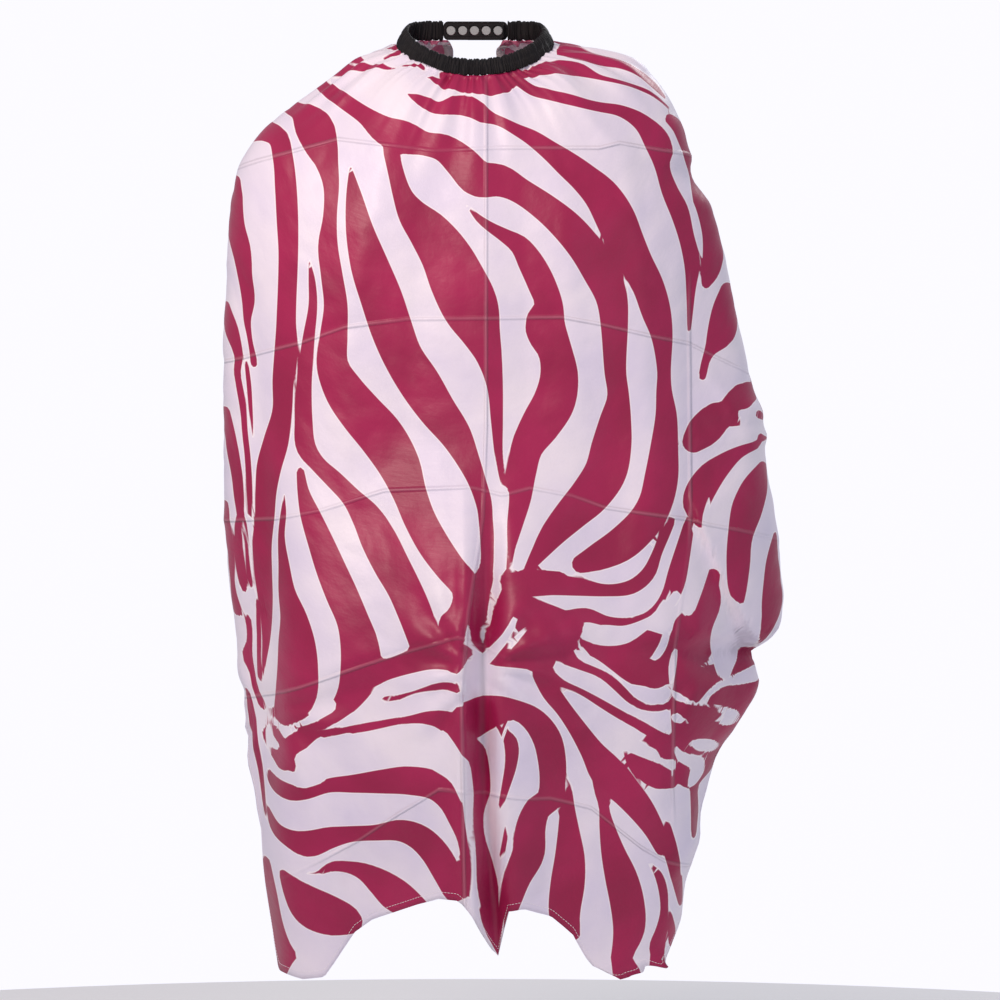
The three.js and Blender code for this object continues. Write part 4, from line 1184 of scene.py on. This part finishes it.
def tabStitches(name, low, high, body):
    # a rounded rectangle of stitches set in from the tab's edge, on both faces
    inset, corner = tab["stitchInset"], tab["corner"] - tab["stitchInset"]
    x0, x1, z0, z1 = low[0] + inset, high[0] - inset, low[2] + inset, high[2] - inset
    outline = []
    for cx, cz, start in ((x1 - corner, z1 - corner, 0), (x0 + corner, z1 - corner, 90),
                          (x0 + corner, z0 + corner, 180), (x1 - corner, z0 + corner, 270)):
        turn = (start + np.linspace(0, 90, 7)) * degree
        outline += np.column_stack([cx + corner * np.cos(turn), cz + corner * np.sin(turn)]).tolist()
    outline = np.array(outline + outline[:1])
    flat = np.column_stack([outline[:, 0], np.zeros(len(outline)), outline[:, 1]])
    at, lengths = evenPlaces(flat, tabStitch["pitch"])
    run = resample(flat, lengths, at)
    paths, normals = [], []
    sunk = tab["stitchDip"] + 0.02
    for y, facing in ((high[1] - sunk, 1), (low[1] + sunk, -1)):
        paths.append(run + np.array([0, y, 0]))
        normals.append(np.tile([0.0, facing, 0.0], (len(run), 1)))
    return stitchRun(name, np.concatenate(paths), np.concatenate(normals), tabStitch, blackThread, body)


postPlaces = []
for number in range(1, 6):
    low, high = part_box(f"snap_post_{number}")
    postPlaces.append(((low[0] + high[0]) / 2 / metre, (low[2] + high[2]) / 2 / metre))
underTab, underLow, underHigh = makeTab("under_tab", "under_tab_cloth", "cape", postPlaces)
overTab, overLow, overHigh = makeTab("over_tab", "over_tab_cloth", "closing_tab")
underStitches = tabStitches("under_tab_stitching", underLow, underHigh, "cape")
overStitches = tabStitches("over_tab_stitching", overLow, overHigh, "closing_tab")

for name, node in nodes.items():
    if name.startswith(("snap_stud", "snap_post", "snap_socket", "snap_cap")):
        finish = capEnamel if name.startswith("snap_cap") else snapMetal
        if not node.material_slots:
            node.data.materials.append(finish)
        for place in node.material_slots:
            place.material = finish
print("closure made")

studio = {
    "aim": (0.025, 0.0, -0.458), "distance": 8.0, "elevation": 2.0, "lens": 284,
    "floorDrop": 1.06, "floorRadius": 1.2,
    "world": "#F4F3FC", "ambient": 0.55, "paper": 1.08, "lampAim": (0, 0, -0.4),
}
bpy.ops.mesh.primitive_circle_add(vertices=96, radius=studio["floorRadius"], fill_type="NGON",
                                  location=(0, 0, 0))
floor = bpy.context.active_object
floor.name = "studio_floor"
floor.data.transform(Matrix.Translation((0, 0, -studio["floorDrop"])))
floor.data.materials.append(paleFloor("paintedFloor"))

world = bpy.data.worlds.new("studio")
world.use_nodes = True
worldTree = world.node_tree
worldTree.nodes.clear()
ambient = add(worldTree, "ShaderNodeBackground", {"Color": linear(studio["world"]),
              "Strength": studio["ambient"]})
paper = add(worldTree, "ShaderNodeBackground", {"Color": linear(studio["world"]),
            "Strength": studio["paper"]})
seen = add(worldTree, "ShaderNodeLightPath").outputs["Is Camera Ray"]
both = add(worldTree, "ShaderNodeMixShader", {0: seen, 1: ambient.outputs[0], 2: paper.outputs[0]})
add(worldTree, "ShaderNodeOutputWorld", {"Surface": both.outputs[0]})
bpy.context.scene.world = world

# name, place, size in metres, power in watts, colour
lamps = [
    ("key", (-0.6, -1.05, 0.5), 0.36, 11, "#FFE6D8"),
    ("fill", (2.4, -3.0, 0.3), 2.0, 9, "#F1EEFF"),
    ("back", (1.6, 2.8, 1.8), 1.2, 34, "#FFFFFF"),
]
for name, place, size, power, colour in lamps:
    lamp = bpy.data.lights.new(name, "AREA")
    lamp.size = size
    lamp.energy = power
    lamp.color = linear(colour)[:3]
    holder = bpy.data.objects.new(name, lamp)
    holder.location = place
    towards = Vector(studio["lampAim"]) - Vector(place)
    holder.rotation_euler = towards.to_track_quat("-Z", "Y").to_euler()
    bpy.context.scene.collection.objects.link(holder)

lens = bpy.data.cameras.new("camera")
lens.lens = studio["lens"]
lens.clip_end = 100
camera = bpy.data.objects.new("camera", lens)
rise = studio["elevation"] * degree
offset = Vector((0, -math.cos(rise), math.sin(rise))) * studio["distance"]
camera.location = Vector(studio["aim"]) + offset
camera.rotation_euler = (-offset).to_track_quat("-Z", "Y").to_euler()
bpy.context.scene.collection.objects.link(camera)
bpy.context.scene.camera = camera
bpy.context.scene.view_settings.view_transform = "Standard"

print("scene done")
